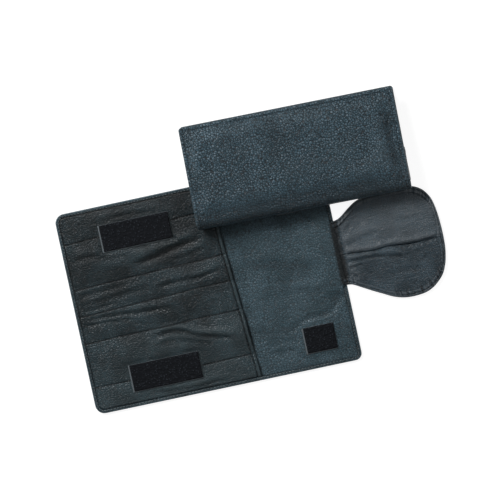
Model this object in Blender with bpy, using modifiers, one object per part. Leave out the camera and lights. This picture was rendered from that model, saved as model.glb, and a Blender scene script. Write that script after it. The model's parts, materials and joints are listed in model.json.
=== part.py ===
"""Two leather scissor cases: one lies open, and one is folded shut and rests on its far half.

Each case is two stitched leather halves joined by a soft spine. A half has a cover, a turned
edge hem, a lining, a pocket panel with sewn channels, a hem at the pocket mouth, a long and a
square closure patch, and half of the paddle-shaped flap that folds over the scissors' handles.

Lengths are in metres. X runs along the fold from the pocket end to the flap, Y from the fold
towards the far half, and Z up. The origin is under the open case, in the middle of its fold.
"""
import math
from dataclasses import dataclass

import bmesh
import bpy
from mathutils import Matrix

MM = 0.001

# Open case
OPEN_LENGTH = 246.0 * MM
OPEN_FAR_WIDTH = 94.0 * MM
OPEN_NEAR_WIDTH = 90.0 * MM
OPEN_POCKET_LENGTH = 148.0 * MM
OPEN_PATCH_LENGTH = 65.0 * MM
OPEN_PATCH_FROM_END = 37.0 * MM
OPEN_FLAP_FAR_WIDTH = 49.5 * MM
OPEN_FLAP_NEAR_WIDTH = 44.5 * MM
OPEN_POCKET_CORNER = 8.5 * MM
OPEN_FLAP_CORNER = 6.5 * MM

# Closed case
CLOSED_LENGTH = 195.0 * MM
CLOSED_REAR_WIDTH = 86.6 * MM
CLOSED_FRONT_WIDTH = 84.6 * MM
CLOSED_POCKET_LENGTH = 117.0 * MM
CLOSED_PATCH_LENGTH = 52.0 * MM
CLOSED_PATCH_FROM_END = 29.0 * MM
CLOSED_FLAP_REAR_WIDTH = 45.0 * MM
CLOSED_FLAP_FRONT_WIDTH = 40.5 * MM
CLOSED_CORNER = 4.0 * MM

# Where the closed case lies on the open one
CLOSED_CENTRE_X = 101.4 * MM
CLOSED_FOLD_Y = 59.9 * MM
CLOSED_YAW_DEG = -1.0

# Leather plies and the clearance between touching pieces
PLY_GAP = 0.3 * MM
COVER_THICK = 0.9 * MM
LINING_THICK = 0.6 * MM
PANEL_THICK = 0.8 * MM
HEM_THICK = 1.8 * MM
HEM_WIDTH = 3.0 * MM
EDGE_ROUND = 0.25 * MM
HEM_ROUND = 0.6 * MM

# Pocket channels, counted from the fold
NARROW_SEAM = 24.5 * MM
WIDE_SEAM = 50.5 * MM
NARROW_RISE = 1.1 * MM
WIDE_RISE = 4.5 * MM
OUTER_RISE = 1.2 * MM
SHOULDER = 6.0 * MM
POCKET_TOE = 15.0 * MM
MOUTH_HEM_WIDTH = 3.4 * MM
MOUTH_HEM_EXTRA = 0.2 * MM

# Closure patches
PATCH_FROM_FOLD = 52.0 * MM
PATCH_WIDTH = 25.0 * MM
SQUARE_LENGTH = 29.0 * MM
SQUARE_WIDTH = 24.0 * MM
SQUARE_FROM_END = 19.5 * MM
PATCH_BACKING = 0.7 * MM
PATCH_PILE = 1.6 * MM
PATCH_SELVAGE = 1.0 * MM

# Flap
FLAP_PLY = 0.6 * MM
FLAP_INSERT = 0.5 * MM
FLAP_HEM_WIDTH = 6.0 * MM
FLAP_ROOT = 14.0 * MM
FLAP_STANDOFF = 2.3 * MM
FLAP_MOUTH_SPACE = 4.0 * MM
CUT_OVERRUN = 2.0 * MM

# Fold
FOLD_CLEARANCE = 0.3 * MM
ARC_STEPS = 6
SPINE_STEPS = 14

# Levels above the underside
LINING_BOTTOM = COVER_THICK + PLY_GAP
LINING_TOP = LINING_BOTTOM + LINING_THICK
PANEL_BOTTOM = LINING_TOP + PLY_GAP
PANEL_TOP = PANEL_BOTTOM + PANEL_THICK
PANEL_CREST = PANEL_TOP + WIDE_RISE
FOLD_HEIGHT = PANEL_CREST + MOUTH_HEM_EXTRA + FOLD_CLEARANCE
SPINE_HALF = FOLD_HEIGHT * math.pi / 2
HALF_SPLIT = PLY_GAP / 2
INNER_INSET = HEM_WIDTH + PLY_GAP

FLAP_BOTTOM = COVER_THICK + PLY_GAP
FLAP_INSERT_BOTTOM = FLAP_BOTTOM + FLAP_PLY + PLY_GAP
FLAP_LIP_BOTTOM = FLAP_INSERT_BOTTOM + FLAP_INSERT + PLY_GAP
FLAP_TOP = FLAP_LIP_BOTTOM + FLAP_PLY
ROOT_THICK = FLAP_PLY + FLAP_INSERT
ROOT_TOP = FLAP_BOTTOM + ROOT_THICK
LINING_LIFT = ROOT_TOP + PLY_GAP - LINING_BOTTOM
FLAP_AXIS_HEIGHT = (LINING_TOP + LINING_LIFT + PLY_GAP + FLAP_TOP) / 2

# Outline of each half of the flap: shares of its length past the case, and of its half width
BROAD_FLAP_SHARES = (
    (0.0, 0.74), (0.06, 0.80), (0.14, 0.875), (0.24, 0.93), (0.37, 0.97), (0.52, 0.99),
    (0.66, 1.0), (0.78, 0.99), (0.87, 0.955), (0.93, 0.86), (0.965, 0.73), (0.985, 0.53),
    (0.998, 0.25), (1.0, 0.0),
)
SLIM_FLAP_SHARES = (
    (0.0, 0.50), (0.04, 0.53), (0.13, 0.625), (0.22, 0.73), (0.31, 0.83), (0.39, 0.915),
    (0.48, 0.977), (0.59, 1.0), (0.70, 0.985), (0.80, 0.905), (0.88, 0.775), (0.94, 0.59),
    (0.98, 0.34), (1.0, 0.0),
)


@dataclass(frozen=True)
class Half:
    """The sizes of one half of a case, in the frame of its fold."""

    case: str
    name: str
    side: int
    length: float
    width: float
    pocket_length: float
    pocket_corner: float
    flap_corner: float
    patch_length: float
    patch_from_end: float
    flap_half_width: float
    flap_shares: tuple
    cover_start: float

    @property
    def pocket_end(self):
        return -self.length / 2

    @property
    def flap_end(self):
        return self.length / 2

    @property
    def mouth(self):
        return self.pocket_end + self.pocket_length

    @property
    def flap_length(self):
        return self.length - self.pocket_length - FLAP_MOUTH_SPACE

    @property
    def neck(self):
        return self.flap_half_width * self.flap_shares[0][1]

    def node(self, piece):
        return f"{self.case}_{piece}_{self.name}"


def clear_scene():
    for old in list(bpy.data.objects):
        bpy.data.objects.remove(old, do_unlink=True)


def make_material(name, colour, roughness, metallic=0.0):
    material = bpy.data.materials.new(name)
    material.use_nodes = True
    shader = material.node_tree.nodes["Principled BSDF"]
    shader.inputs["Base Color"].default_value = (*colour, 1.0)
    shader.inputs["Roughness"].default_value = roughness
    shader.inputs["Metallic"].default_value = metallic
    material.diffuse_color = (*colour, 1.0)
    return material


def make_collection(name):
    collection = bpy.data.collections.new(name)
    bpy.context.scene.collection.children.link(collection)
    return collection


def make_pivot(name, matrix, parent, collection):
    """An empty on a joint's axis."""
    pivot = bpy.data.objects.new(name, None)
    collection.objects.link(pivot)
    pivot.parent = parent
    pivot.matrix_local = matrix
    return pivot


def make_object(name, bm, look, pivot, shift, collection):
    """Turn a bmesh, drawn in the half's frame, into an object that hangs on its pivot."""
    mesh = bpy.data.meshes.new(name)
    bm.to_mesh(mesh)
    bm.free()
    piece = bpy.data.objects.new(name, mesh)
    piece.data.materials.append(look)
    collection.objects.link(piece)
    piece.parent = pivot
    piece.location = shift
    return piece


def add_bevel(piece, width, segments=2):
    bevel = piece.modifiers.new("rounded_edges", "BEVEL")
    bevel.width = width
    bevel.segments = segments
    bevel.limit_method = "ANGLE"
    bevel.angle_limit = math.radians(40)


def add_thickness(piece, thickness):
    wall = piece.modifiers.new("ply", "SOLIDIFY")
    wall.thickness = thickness
    wall.offset = -1.0


def cut(piece, cutter):
    boolean = piece.modifiers.new("cut_by_" + cutter.name, "BOOLEAN")
    boolean.operation = "DIFFERENCE"
    boolean.object = cutter


def plate_bmesh(outline, bottom, thickness, side=1):
    """A flat outline as a 2D curve, extruded, welded and turned into a closed bmesh."""
    curve = bpy.data.curves.new("outline", "CURVE")
    curve.dimensions = "2D"
    curve.fill_mode = "BOTH"
    curve.extrude = thickness / 2
    spline = curve.splines.new("POLY")
    spline.points.add(len(outline) - 1)
    for point, (x, y) in zip(spline.points, outline):
        point.co = (x, y, 0.0, 1.0)
    spline.use_cyclic_u = True
    holder = bpy.data.objects.new("outline", curve)
    bpy.context.scene.collection.objects.link(holder)
    bpy.context.view_layer.update()
    shape = holder.evaluated_get(bpy.context.evaluated_depsgraph_get())
    mesh = bpy.data.meshes.new_from_object(shape)
    bm = bmesh.new()
    bm.from_mesh(mesh)
    bpy.data.objects.remove(holder, do_unlink=True)
    bpy.data.curves.remove(curve)
    bpy.data.meshes.remove(mesh)
    bmesh.ops.remove_doubles(bm, verts=bm.verts, dist=PLY_GAP / 100)
    place = Matrix.Translation((0.0, 0.0, bottom + thickness / 2)) @ Matrix.Diagonal((1.0, side, 1.0, 1.0))
    bmesh.ops.transform(bm, matrix=place, verts=bm.verts)
    bmesh.ops.recalc_face_normals(bm, faces=bm.faces)
    return bm


def arc(centre, radius, start_deg, end_deg, steps=ARC_STEPS):
    """Points along an arc, both ends included."""
    angles = [math.radians(start_deg + (end_deg - start_deg) * i / steps) for i in range(steps + 1)]
    return [(centre[0] + radius * math.cos(a), centre[1] + radius * math.sin(a)) for a in angles]


def edge_path(half, inset, start_y, end_y):
    """The way round a half's free edge, from the fold at the pocket end to the flap end."""
    left = half.pocket_end + inset
    right = half.flap_end - inset
    top = half.width - inset
    left_round = half.pocket_corner - inset
    right_round = half.flap_corner - inset
    path = [(left, start_y)]
    path += arc((left + left_round, top - left_round), left_round, 180, 90)
    path += arc((right - right_round, top - right_round), right_round, 90, 0)
    path.append((right, end_y))
    return path


def smooth(value):
    """A smooth step from 0 to 1."""
    value = min(max(value, 0.0), 1.0)
    return value * value * (3 - 2 * value)


def plateau(place, start, end, shoulder):
    """0 at both ends of a channel and 1 between its shoulders."""
    return min(smooth((place - start) / shoulder), smooth((end - place) / shoulder))


def channels(half):
    """The pocket's channels: start, end, shoulder and rise above the seams."""
    outer_end = half.width - INNER_INSET
    return (
        (HALF_SPLIT, NARROW_SEAM, SHOULDER, NARROW_RISE),
        (NARROW_SEAM, WIDE_SEAM, SHOULDER, WIDE_RISE),
        (WIDE_SEAM, outer_end, (PATCH_FROM_FOLD - WIDE_SEAM) / 2, OUTER_RISE),
    )


def panel_rise(half, y):
    return sum(rise * plateau(y, start, end, shoulder) for start, end, shoulder, rise in channels(half))


def panel_stations(half):
    """Places across the channels: each seam, and the steps of each shoulder."""
    stations = [HALF_SPLIT]
    for start, end, shoulder, _ in channels(half):
        steps = [shoulder * i / 4 for i in range(1, 5)]
        stations += [start + step for step in steps]
        stations += [end - step for step in reversed(steps)] + [end]
    return stations


def round_corner(x, y, corner_x, corner_y, radius):
    """Draw a point that lies outside a free corner's arc in onto the arc."""
    inward = 1 if corner_x < 0 else -1
    away_x = x - (corner_x + inward * radius)
    away_y = y - (corner_y - radius)
    distance = math.hypot(away_x, away_y)
    if away_x * inward >= 0 or away_y <= 0 or distance <= radius:
        return x, y
    return x - away_x * (1 - radius / distance), y - away_y * (1 - radius / distance)


def grid_sheet(xs, ys, height, side, corners=()):
    """An open sheet on a grid of stations, lifted by a height function, with round corners."""
    bm = bmesh.new()
    columns, rows = len(xs) - 1, len(ys) - 1
    bmesh.ops.create_grid(bm, x_segments=columns, y_segments=rows, size=1.0)
    for vert in bm.verts:
        x = xs[round((vert.co.x + 1) / 2 * columns)]
        y = ys[round((vert.co.y + 1) / 2 * rows)]
        lift = height(x, y)
        for corner in corners:
            x, y = round_corner(x, y, *corner)
        vert.co = (x, side * y, lift)
    if side < 0:
        bmesh.ops.reverse_faces(bm, faces=bm.faces)
    return bm


def cover(half, kit):
    """The outer leather of one half, with rounded free corners."""
    outline = edge_path(half, 0.0, half.cover_start, half.cover_start)
    bm = plate_bmesh(outline, 0.0, COVER_THICK, half.side)
    piece = kit.add(half.node("cover"), bm, "cover_leather")
    add_bevel(piece, EDGE_ROUND)


def edge_hem(half, kit):
    """The turned edge: a narrow roll round the three free edges, open at the flap's neck."""
    hem_end = half.neck + PLY_GAP
    outer = edge_path(half, 0.0, HALF_SPLIT, hem_end)
    inner = edge_path(half, HEM_WIDTH, HALF_SPLIT, hem_end)
    bm = plate_bmesh(outer + inner[::-1], COVER_THICK + PLY_GAP, HEM_THICK, half.side)
    piece = kit.add(half.node("edge_hem"), bm, "cover_leather")
    add_bevel(piece, HEM_ROUND)


def lining(half, kit):
    """The inner leather, lifted where it passes over the flap's sewn root."""
    left = half.pocket_end + INNER_INSET
    right = half.flap_end - INNER_INSET
    top = half.width - INNER_INSET
    full_from = half.flap_end - FLAP_ROOT - SHOULDER
    slope = full_from - half.mouth - MOUTH_HEM_WIDTH
    level = half.neck + SHOULDER
    pocket_round = half.pocket_corner - HEM_WIDTH
    flap_round = half.flap_corner - HEM_WIDTH

    def height(x, y):
        along = smooth((x - (full_from - slope)) / slope)
        across = smooth((PATCH_FROM_FOLD - y) / (PATCH_FROM_FOLD - level))
        return LINING_TOP + LINING_LIFT * along * across

    steps = 4
    xs = [left, left + pocket_round / 2, left + pocket_round, half.mouth]
    xs += [full_from - slope * (1 - i / steps) for i in range(1, steps + 1)]
    xs += [right - flap_round, right - flap_round / 2, right]
    ys = [HALF_SPLIT, level]
    ys += [level + (PATCH_FROM_FOLD - level) * i / steps for i in range(1, steps + 1)]
    ys += [top - pocket_round, top - pocket_round / 2, top]
    corners = ((left, top, pocket_round), (right, top, flap_round))
    bm = grid_sheet(xs, ys, height, half.side, corners)
    piece = kit.add(half.node("lining"), bm, "lining_leather")
    add_thickness(piece, LINING_THICK)


def pocket_panel(half, kit):
    """The soft leather over the pockets: channels between seams, flat at the closed end."""
    left = half.pocket_end + INNER_INSET
    right = half.mouth - MOUTH_HEM_WIDTH - PLY_GAP
    top = half.width - INNER_INSET

    def height(x, y):
        return PANEL_TOP + panel_rise(half, y) * smooth((x - left) / POCKET_TOE)

    steps = 4
    pocket_round = half.pocket_corner - HEM_WIDTH
    xs = [left + POCKET_TOE * i / steps for i in range(steps + 1)] + [right]
    ys = panel_stations(half)
    ys = ys[:-1] + [top - pocket_round, top - pocket_round / 2, top]
    bm = grid_sheet(xs, sorted(ys), height, half.side, ((left, top, pocket_round),))
    piece = kit.add(half.node("pocket_panel"), bm, "pocket_leather")
    add_thickness(piece, PANEL_THICK)


def mouth_hem(half, kit):
    """The turned hem along the pockets' mouth, which arches over each channel."""
    left = half.mouth - MOUTH_HEM_WIDTH

    def height(x, y):
        return PANEL_TOP + MOUTH_HEM_EXTRA + panel_rise(half, y)

    bm = grid_sheet([left, half.mouth], panel_stations(half), height, half.side)
    piece = kit.add(half.node("mouth_hem"), bm, "pocket_leather")
    add_thickness(piece, PANEL_THICK + MOUTH_HEM_EXTRA)


def closure_patch(half, kit, piece_name, start, length, width, bottom):
    """Closure tape: a thin woven backing with a raised pile inside its selvage."""
    centre_x = start + length / 2
    centre_y = half.side * (PATCH_FROM_FOLD + width / 2)
    bm = bmesh.new()
    place = Matrix.Translation((centre_x, centre_y, bottom + PATCH_BACKING / 2))
    size = Matrix.Diagonal((length, width, PATCH_BACKING, 1.0))
    bmesh.ops.create_cube(bm, size=1.0, matrix=place @ size)
    top = [face for face in bm.faces if face.normal.z > 0.5]
    bmesh.ops.inset_region(bm, faces=top, thickness=PATCH_SELVAGE)
    grown = bmesh.ops.extrude_face_region(bm, geom=top)
    raised = [item for item in grown["geom"] if isinstance(item, bmesh.types.BMVert)]
    bmesh.ops.translate(bm, verts=raised, vec=(0.0, 0.0, PATCH_PILE))
    bmesh.ops.delete(bm, geom=top, context="FACES")
    bmesh.ops.recalc_face_normals(bm, faces=bm.faces)
    kit.add(half.node(piece_name), bm, "closure_tape")


def patches(half, kit):
    closure_patch(
        half, kit, "long_patch", half.pocket_end + half.patch_from_end, half.patch_length,
        PATCH_WIDTH, PANEL_TOP + OUTER_RISE + PLY_GAP,
    )
    closure_patch(
        half, kit, "square_patch", half.flap_end - SQUARE_FROM_END - SQUARE_LENGTH, SQUARE_LENGTH,
        SQUARE_WIDTH, LINING_TOP + PLY_GAP,
    )


def flap_outline(half, inset, start_x):
    """Half of the paddle: from the crease at the case, round its free edge, to the tip."""
    reach = half.flap_length - FLAP_STANDOFF - inset
    wide = half.flap_half_width - inset
    begin = half.flap_end + FLAP_STANDOFF
    points = [(begin + reach * along, max(wide * across, HALF_SPLIT)) for along, across in half.flap_shares]
    return [(start_x, HALF_SPLIT), (start_x, points[0][1])] + points[1:]


def flap(half, kit):
    """Half of the flap: a ply turned over at its edge, and the ply that it holds."""
    begin = half.flap_end + FLAP_STANDOFF
    body = plate_bmesh(flap_outline(half, 0.0, begin), FLAP_BOTTOM, FLAP_TOP - FLAP_BOTTOM, half.side)
    shell = kit.add(half.node("flap"), body, "flap_leather", on_flap=True)

    def cutter(name, inset, bottom, top):
        outline = flap_outline(half, inset, begin - CUT_OVERRUN)
        outline = [(x, y - CUT_OVERRUN if y <= HALF_SPLIT else y) for x, y in outline]
        bm = plate_bmesh(outline, bottom, top - bottom, half.side)
        return kit.add(half.node(name), bm, "flap_leather", on_flap=True, is_cutter=True)

    cut(shell, cutter("flap_slot", FLAP_PLY, FLAP_BOTTOM + FLAP_PLY, FLAP_LIP_BOTTOM))
    cut(shell, cutter("flap_window", FLAP_HEM_WIDTH, FLAP_LIP_BOTTOM - FLAP_PLY / 2, FLAP_TOP + CUT_OVERRUN))

    insert = plate_bmesh(
        flap_outline(half, FLAP_PLY + PLY_GAP, begin), FLAP_INSERT_BOTTOM, FLAP_INSERT, half.side
    )
    kit.add(half.node("flap_lining"), insert, "lining_leather", on_flap=True)


def flap_root(half, kit):
    """The end of the flap that is sewn in between the cover and the lining."""
    left = half.flap_end - FLAP_ROOT
    right = half.flap_end + FLAP_STANDOFF - PLY_GAP
    outline = [(left, HALF_SPLIT), (left, half.neck), (right, half.neck), (right, HALF_SPLIT)]
    bm = plate_bmesh(outline, FLAP_BOTTOM, ROOT_THICK, half.side)
    kit.add(half.node("flap_root"), bm, "flap_leather")


def flat_spine(half, kit):
    """The cover's soft band along the fold, while the case lies open."""
    end = SPINE_HALF
    outline = [(half.pocket_end, -end), (half.pocket_end, end), (half.flap_end, end), (half.flap_end, -end)]
    bm = plate_bmesh(outline, 0.0, COVER_THICK)
    piece = kit.add(f"{half.case}_spine", bm, "cover_leather")
    add_bevel(piece, EDGE_ROUND)


def folded_spine(half, kit):
    """The same band wrapped half round the fold of a closed case."""
    outer = arc((0.0, 0.0), FOLD_HEIGHT, 90, 270, SPINE_STEPS)
    inner = arc((0.0, 0.0), FOLD_HEIGHT - COVER_THICK, 90, 270, SPINE_STEPS)
    bm = plate_bmesh(outer + inner[::-1], -half.length / 2, half.length)
    turn = Matrix(((0.0, 0.0, 1.0, 0.0), (1.0, 0.0, 0.0, -HALF_SPLIT), (0.0, 1.0, 0.0, FOLD_HEIGHT),
                   (0.0, 0.0, 0.0, 1.0)))
    bmesh.ops.transform(bm, matrix=turn, verts=bm.verts)
    piece = kit.add(f"{half.case}_spine", bm, "cover_leather")
    for polygon in piece.data.polygons:
        polygon.use_smooth = True
    piece.data.set_sharp_from_angle(angle=math.radians(40))


class Kit:
    """Puts the pieces of one half on its fold pivot, and its flap on the flap's pivot."""

    def __init__(self, half, fold_pivot, flap_turn, parts, cutters, looks):
        self.fold_pivot = fold_pivot
        self.parts = parts
        self.cutters = cutters
        self.looks = looks
        axis_x = half.flap_end + FLAP_STANDOFF
        place = Matrix.Translation((axis_x, 0.0, FLAP_AXIS_HEIGHT - FOLD_HEIGHT))
        turn = Matrix.Rotation(flap_turn, 4, "Y")
        self.flap_pivot = make_pivot(half.node("flap_axis"), place @ turn, fold_pivot, parts)
        self.fold_shift = (0.0, 0.0, -FOLD_HEIGHT)
        self.flap_shift = (-axis_x, 0.0, -FLAP_AXIS_HEIGHT)

    def add(self, name, bm, look, on_flap=False, is_cutter=False):
        pivot = self.flap_pivot if on_flap else self.fold_pivot
        shift = self.flap_shift if on_flap else self.fold_shift
        collection = self.cutters if is_cutter else self.parts
        piece = make_object(name, bm, self.looks[look], pivot, shift, collection)
        if is_cutter:
            piece.hide_render = True
            piece.display_type = "WIRE"
        return piece


def build_half(half, kit):
    cover(half, kit)
    edge_hem(half, kit)
    lining(half, kit)
    pocket_panel(half, kit)
    mouth_hem(half, kit)
    patches(half, kit)
    flap_root(half, kit)
    flap(half, kit)


def open_half(name, side, width, flap_half_width, flap_shares):
    return Half(
        case="open", name=name, side=side, length=OPEN_LENGTH, width=width,
        pocket_length=OPEN_POCKET_LENGTH, pocket_corner=OPEN_POCKET_CORNER,
        flap_corner=OPEN_FLAP_CORNER, patch_length=OPEN_PATCH_LENGTH,
        patch_from_end=OPEN_PATCH_FROM_END, flap_half_width=flap_half_width,
        flap_shares=flap_shares, cover_start=SPINE_HALF + PLY_GAP,
    )


def closed_half(name, side, width, flap_half_width, flap_shares):
    return Half(
        case="closed", name=name, side=side, length=CLOSED_LENGTH, width=width,
        pocket_length=CLOSED_POCKET_LENGTH, pocket_corner=CLOSED_CORNER,
        flap_corner=CLOSED_CORNER, patch_length=CLOSED_PATCH_LENGTH,
        patch_from_end=CLOSED_PATCH_FROM_END, flap_half_width=flap_half_width,
        flap_shares=flap_shares, cover_start=HALF_SPLIT,
    )


def closed_case_tilt(far):
    """The slope at which the closed case clears the open one, its far edge on the table."""
    lever = CLOSED_FOLD_Y + CLOSED_REAR_WIDTH - (far.width - INNER_INSET)
    level = PANEL_TOP + OUTER_RISE + MOUTH_HEM_EXTRA + PLY_GAP
    return math.atan2(level, lever)


def main():
    clear_scene()
    parts = make_collection("scissor_cases")
    cutters = make_collection("cutters")
    looks = {
        "cover_leather": make_material("cover_leather", (0.036, 0.052, 0.058), 0.42),
        "lining_leather": make_material("lining_leather", (0.050, 0.072, 0.078), 0.50),
        "pocket_leather": make_material("pocket_leather", (0.044, 0.064, 0.070), 0.46),
        "flap_leather": make_material("flap_leather", (0.040, 0.055, 0.060), 0.38),
        "closure_tape": make_material("closure_tape", (0.008, 0.009, 0.011), 0.95),
    }

    far = open_half("far", 1, OPEN_FAR_WIDTH, OPEN_FLAP_FAR_WIDTH, BROAD_FLAP_SHARES)
    near = open_half("near", -1, OPEN_NEAR_WIDTH, OPEN_FLAP_NEAR_WIDTH, SLIM_FLAP_SHARES)
    fold = Matrix.Translation((0.0, 0.0, FOLD_HEIGHT))
    far_kit = Kit(far, make_pivot("open_far_axis", fold, None, parts), 0.0, parts, cutters, looks)
    near_kit = Kit(near, make_pivot("open_near_axis", fold, None, parts), 0.0, parts, cutters, looks)
    build_half(far, far_kit)
    build_half(near, near_kit)
    flat_spine(far, far_kit)

    rear = closed_half("rear", 1, CLOSED_REAR_WIDTH, CLOSED_FLAP_REAR_WIDTH, BROAD_FLAP_SHARES)
    front = closed_half("front", -1, CLOSED_FRONT_WIDTH, CLOSED_FLAP_FRONT_WIDTH, SLIM_FLAP_SHARES)
    tilt = closed_case_tilt(far)
    stand = Matrix.Translation((CLOSED_CENTRE_X, CLOSED_FOLD_Y, CLOSED_REAR_WIDTH * math.sin(tilt)))
    lie = Matrix.Rotation(math.radians(CLOSED_YAW_DEG), 4, "Z") @ Matrix.Rotation(-tilt, 4, "X")
    rear_pivot = make_pivot("closed_rear_axis", stand @ lie @ fold, None, parts)
    front_pivot = make_pivot("closed_front_axis", Matrix.Rotation(math.pi, 4, "X"), rear_pivot, parts)
    rear_kit = Kit(rear, rear_pivot, -math.pi, parts, cutters, looks)
    front_kit = Kit(front, front_pivot, -math.pi, parts, cutters, looks)
    build_half(rear, rear_kit)
    build_half(front, front_kit)
    folded_spine(rear, rear_kit)
    bpy.context.view_layer.update()


if __name__ == "__main__":
    main()
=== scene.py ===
"""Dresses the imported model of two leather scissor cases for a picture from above.

One case lies open and shows its pockets, closure tapes and flap. The other is folded shut and
lies on its far half. Lengths are in millimetres until a point is placed in the row frame. A flat
place on a case is (along, across, height): along its fold towards the flap, across its fold
towards the far half, and up from the outer face of its cover to the pockets.
"""

import json
import logging
import math
from collections.abc import Callable, Iterable, Sequence
from dataclasses import dataclass, field
from enum import Enum
from typing import NamedTuple

import bmesh
import bpy
from mathutils import Matrix, Vector, noise


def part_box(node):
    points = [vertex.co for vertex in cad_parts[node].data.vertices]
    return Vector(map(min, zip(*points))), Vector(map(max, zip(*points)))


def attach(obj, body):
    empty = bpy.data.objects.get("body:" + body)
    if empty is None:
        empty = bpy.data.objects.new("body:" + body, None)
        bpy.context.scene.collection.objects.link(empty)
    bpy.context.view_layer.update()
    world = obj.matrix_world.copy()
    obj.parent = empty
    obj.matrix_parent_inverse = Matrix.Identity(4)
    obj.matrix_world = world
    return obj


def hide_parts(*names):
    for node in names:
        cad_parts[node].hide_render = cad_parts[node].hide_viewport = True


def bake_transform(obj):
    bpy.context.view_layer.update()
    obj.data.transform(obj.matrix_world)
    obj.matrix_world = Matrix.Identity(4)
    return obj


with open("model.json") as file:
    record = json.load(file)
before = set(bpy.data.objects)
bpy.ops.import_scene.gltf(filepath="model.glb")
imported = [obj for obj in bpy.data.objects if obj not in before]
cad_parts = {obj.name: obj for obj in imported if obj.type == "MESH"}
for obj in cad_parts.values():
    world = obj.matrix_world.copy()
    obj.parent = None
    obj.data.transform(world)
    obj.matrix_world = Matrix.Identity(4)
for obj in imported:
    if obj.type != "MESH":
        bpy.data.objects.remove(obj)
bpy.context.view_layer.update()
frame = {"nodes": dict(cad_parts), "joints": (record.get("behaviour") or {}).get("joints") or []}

LOG = logging.getLogger("scissor_cases")
MM = 0.001

# Plies and margins shared by both cases
PLY_GAP = 0.3
COVER_THICK = 0.9
LINING_THICK = 0.6
PANEL_THICK = 0.8
ROLL_WIDTH = 3.1
INNER_MARGIN = ROLL_WIDTH + PLY_GAP / 2.0
BINDING_WIDTH = 3.4
BINDING_GAP = 0.35
FLAP_HEM = 6.2
FLAP_OUTER_THICK = 0.45
FLAP_INNER_THICK = 0.5
TAPE_BACKING_THICK = 0.5

# Distances from an edge to the row of thread beside it
COVER_SEAM = 3.2
HEM_SEAM = 2.4
SECOND_HEM_SEAM = 5.0

# Spacing and number of a grid's points
RIM_PITCH = 0.8
HEM_ROWS = 12
TURN_ROWS = 5
PLY_ROWS = 42
ROLL_SIDES = 14
ROLL_PITCH = 1.3
LEATHER_PITCH = 1.1

POLE_TO_X = Matrix.Rotation(math.pi / 2.0, 4, "Y")


class Half(Enum):
    """The two halves of a case, by the side of the fold on which they lie."""

    FAR = 1
    NEAR = -1


class Thread(NamedTuple):
    """A kind of sewing: the distance from one stitch to the next, and half the thread's width."""

    pitch: float
    radius: float


COVER_THREAD = Thread(2.7, 0.26)
SEAM_THREAD = Thread(3.0, 0.3)
EDGE_THREAD = Thread(2.9, 0.22)
FLAP_THREAD = Thread(2.4, 0.28)


class Spot(NamedTuple):
    """A flat place, and its wear and painted shading: 1 is lighter with wear and a painted highlight, -1 dark with
    painted shade in a fold.
    """

    along: float
    across: float
    height: float
    wear_and_shading: float = 0.0


Shape = Callable[[float, float], Spot]
Line = Sequence[tuple[float, float]]


def ease(value: float) -> float:
    """Return a smooth step from 0 to 1."""
    value = min(max(value, 0.0), 1.0)
    return value * value * (3.0 - 2.0 * value)


def bell(away: float, width: float) -> float:
    """Return 1 on a line, falling to 0 beside it."""
    return math.exp(-((away / width) ** 2))


def waver(x: float, y: float, seed: float) -> float:
    """Return smooth noise at a place."""
    return noise.noise(Vector((x, y, seed)))


def mix(start: float, end: float, share: float) -> float:
    """Return the value at a share of the way from start to end."""
    return start + (end - start) * share


def steps(start: float, end: float, pitch: float) -> list[float]:
    """Return evenly spaced stations.

    Args:
        start: First station.
        end: Last station.
        pitch: Widest step between two of them.

    Returns:
        The stations, both ends included.
    """
    count = max(1, math.ceil(abs(end - start) / pitch))
    return [mix(start, end, i / count) for i in range(count + 1)]


def edged_steps(start: float, end: float, pitch: float) -> list[float]:
    """Return stations that lie closer together near both ends."""
    fine, margin = 0.5, 5.0
    return [*steps(start, start + margin, fine)[:-1], *steps(start + margin, end - margin, pitch)[:-1],
            *steps(end - margin, end, fine)]


def curve_through(points: Line, pitch: float) -> list[Vector]:
    """Draw a smooth curve through a few points.

    Args:
        points: Places that the curve passes through.
        pitch: Distance between two points of the result.

    Returns:
        Points at an even distance along the curve, both ends included.
    """
    held = [Vector(p) for p in points]
    held = [2 * held[0] - held[1], *held, 2 * held[-1] - held[-2]]
    dense = []
    for a, b, c, d in zip(held, held[1:], held[2:], held[3:]):
        for i in range(16):
            t = i / 16
            dense.append(0.5 * (2 * b + (c - a) * t + (2 * a - 5 * b + 4 * c - d) * t * t
                                + (3 * b - a - 3 * c + d) * t * t * t))
    dense.append(held[-2])
    return even_points(dense, pitch)


def even_points(line: Sequence[Vector], pitch: float) -> list[Vector]:
    """Lay points at an even distance along a polyline.

    Args:
        line: The polyline.
        pitch: Widest distance between two points of the result.

    Returns:
        The points, both ends included.
    """
    lengths = [(b - a).length for a, b in zip(line, line[1:])]
    whole = sum(lengths)
    count = max(1, round(whole / pitch))
    found, segment, passed = [], 0, 0.0
    for i in range(count + 1):
        target = whole * i / count
        while segment < len(lengths) - 1 and passed + lengths[segment] < target:
            passed += lengths[segment]
            segment += 1
        share = (target - passed) / max(lengths[segment], 1e-9)
        found.append(line[segment].lerp(line[segment + 1], min(share, 1.0)))
    return found


@dataclass(frozen=True)
class Crease:
    """A line along which soft leather sinks, with a raised lip on its far side."""

    points: tuple[tuple[float, float], ...]
    depth: float
    width: float
    lip: float = 0.0
    fade: float = 0.22


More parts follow.
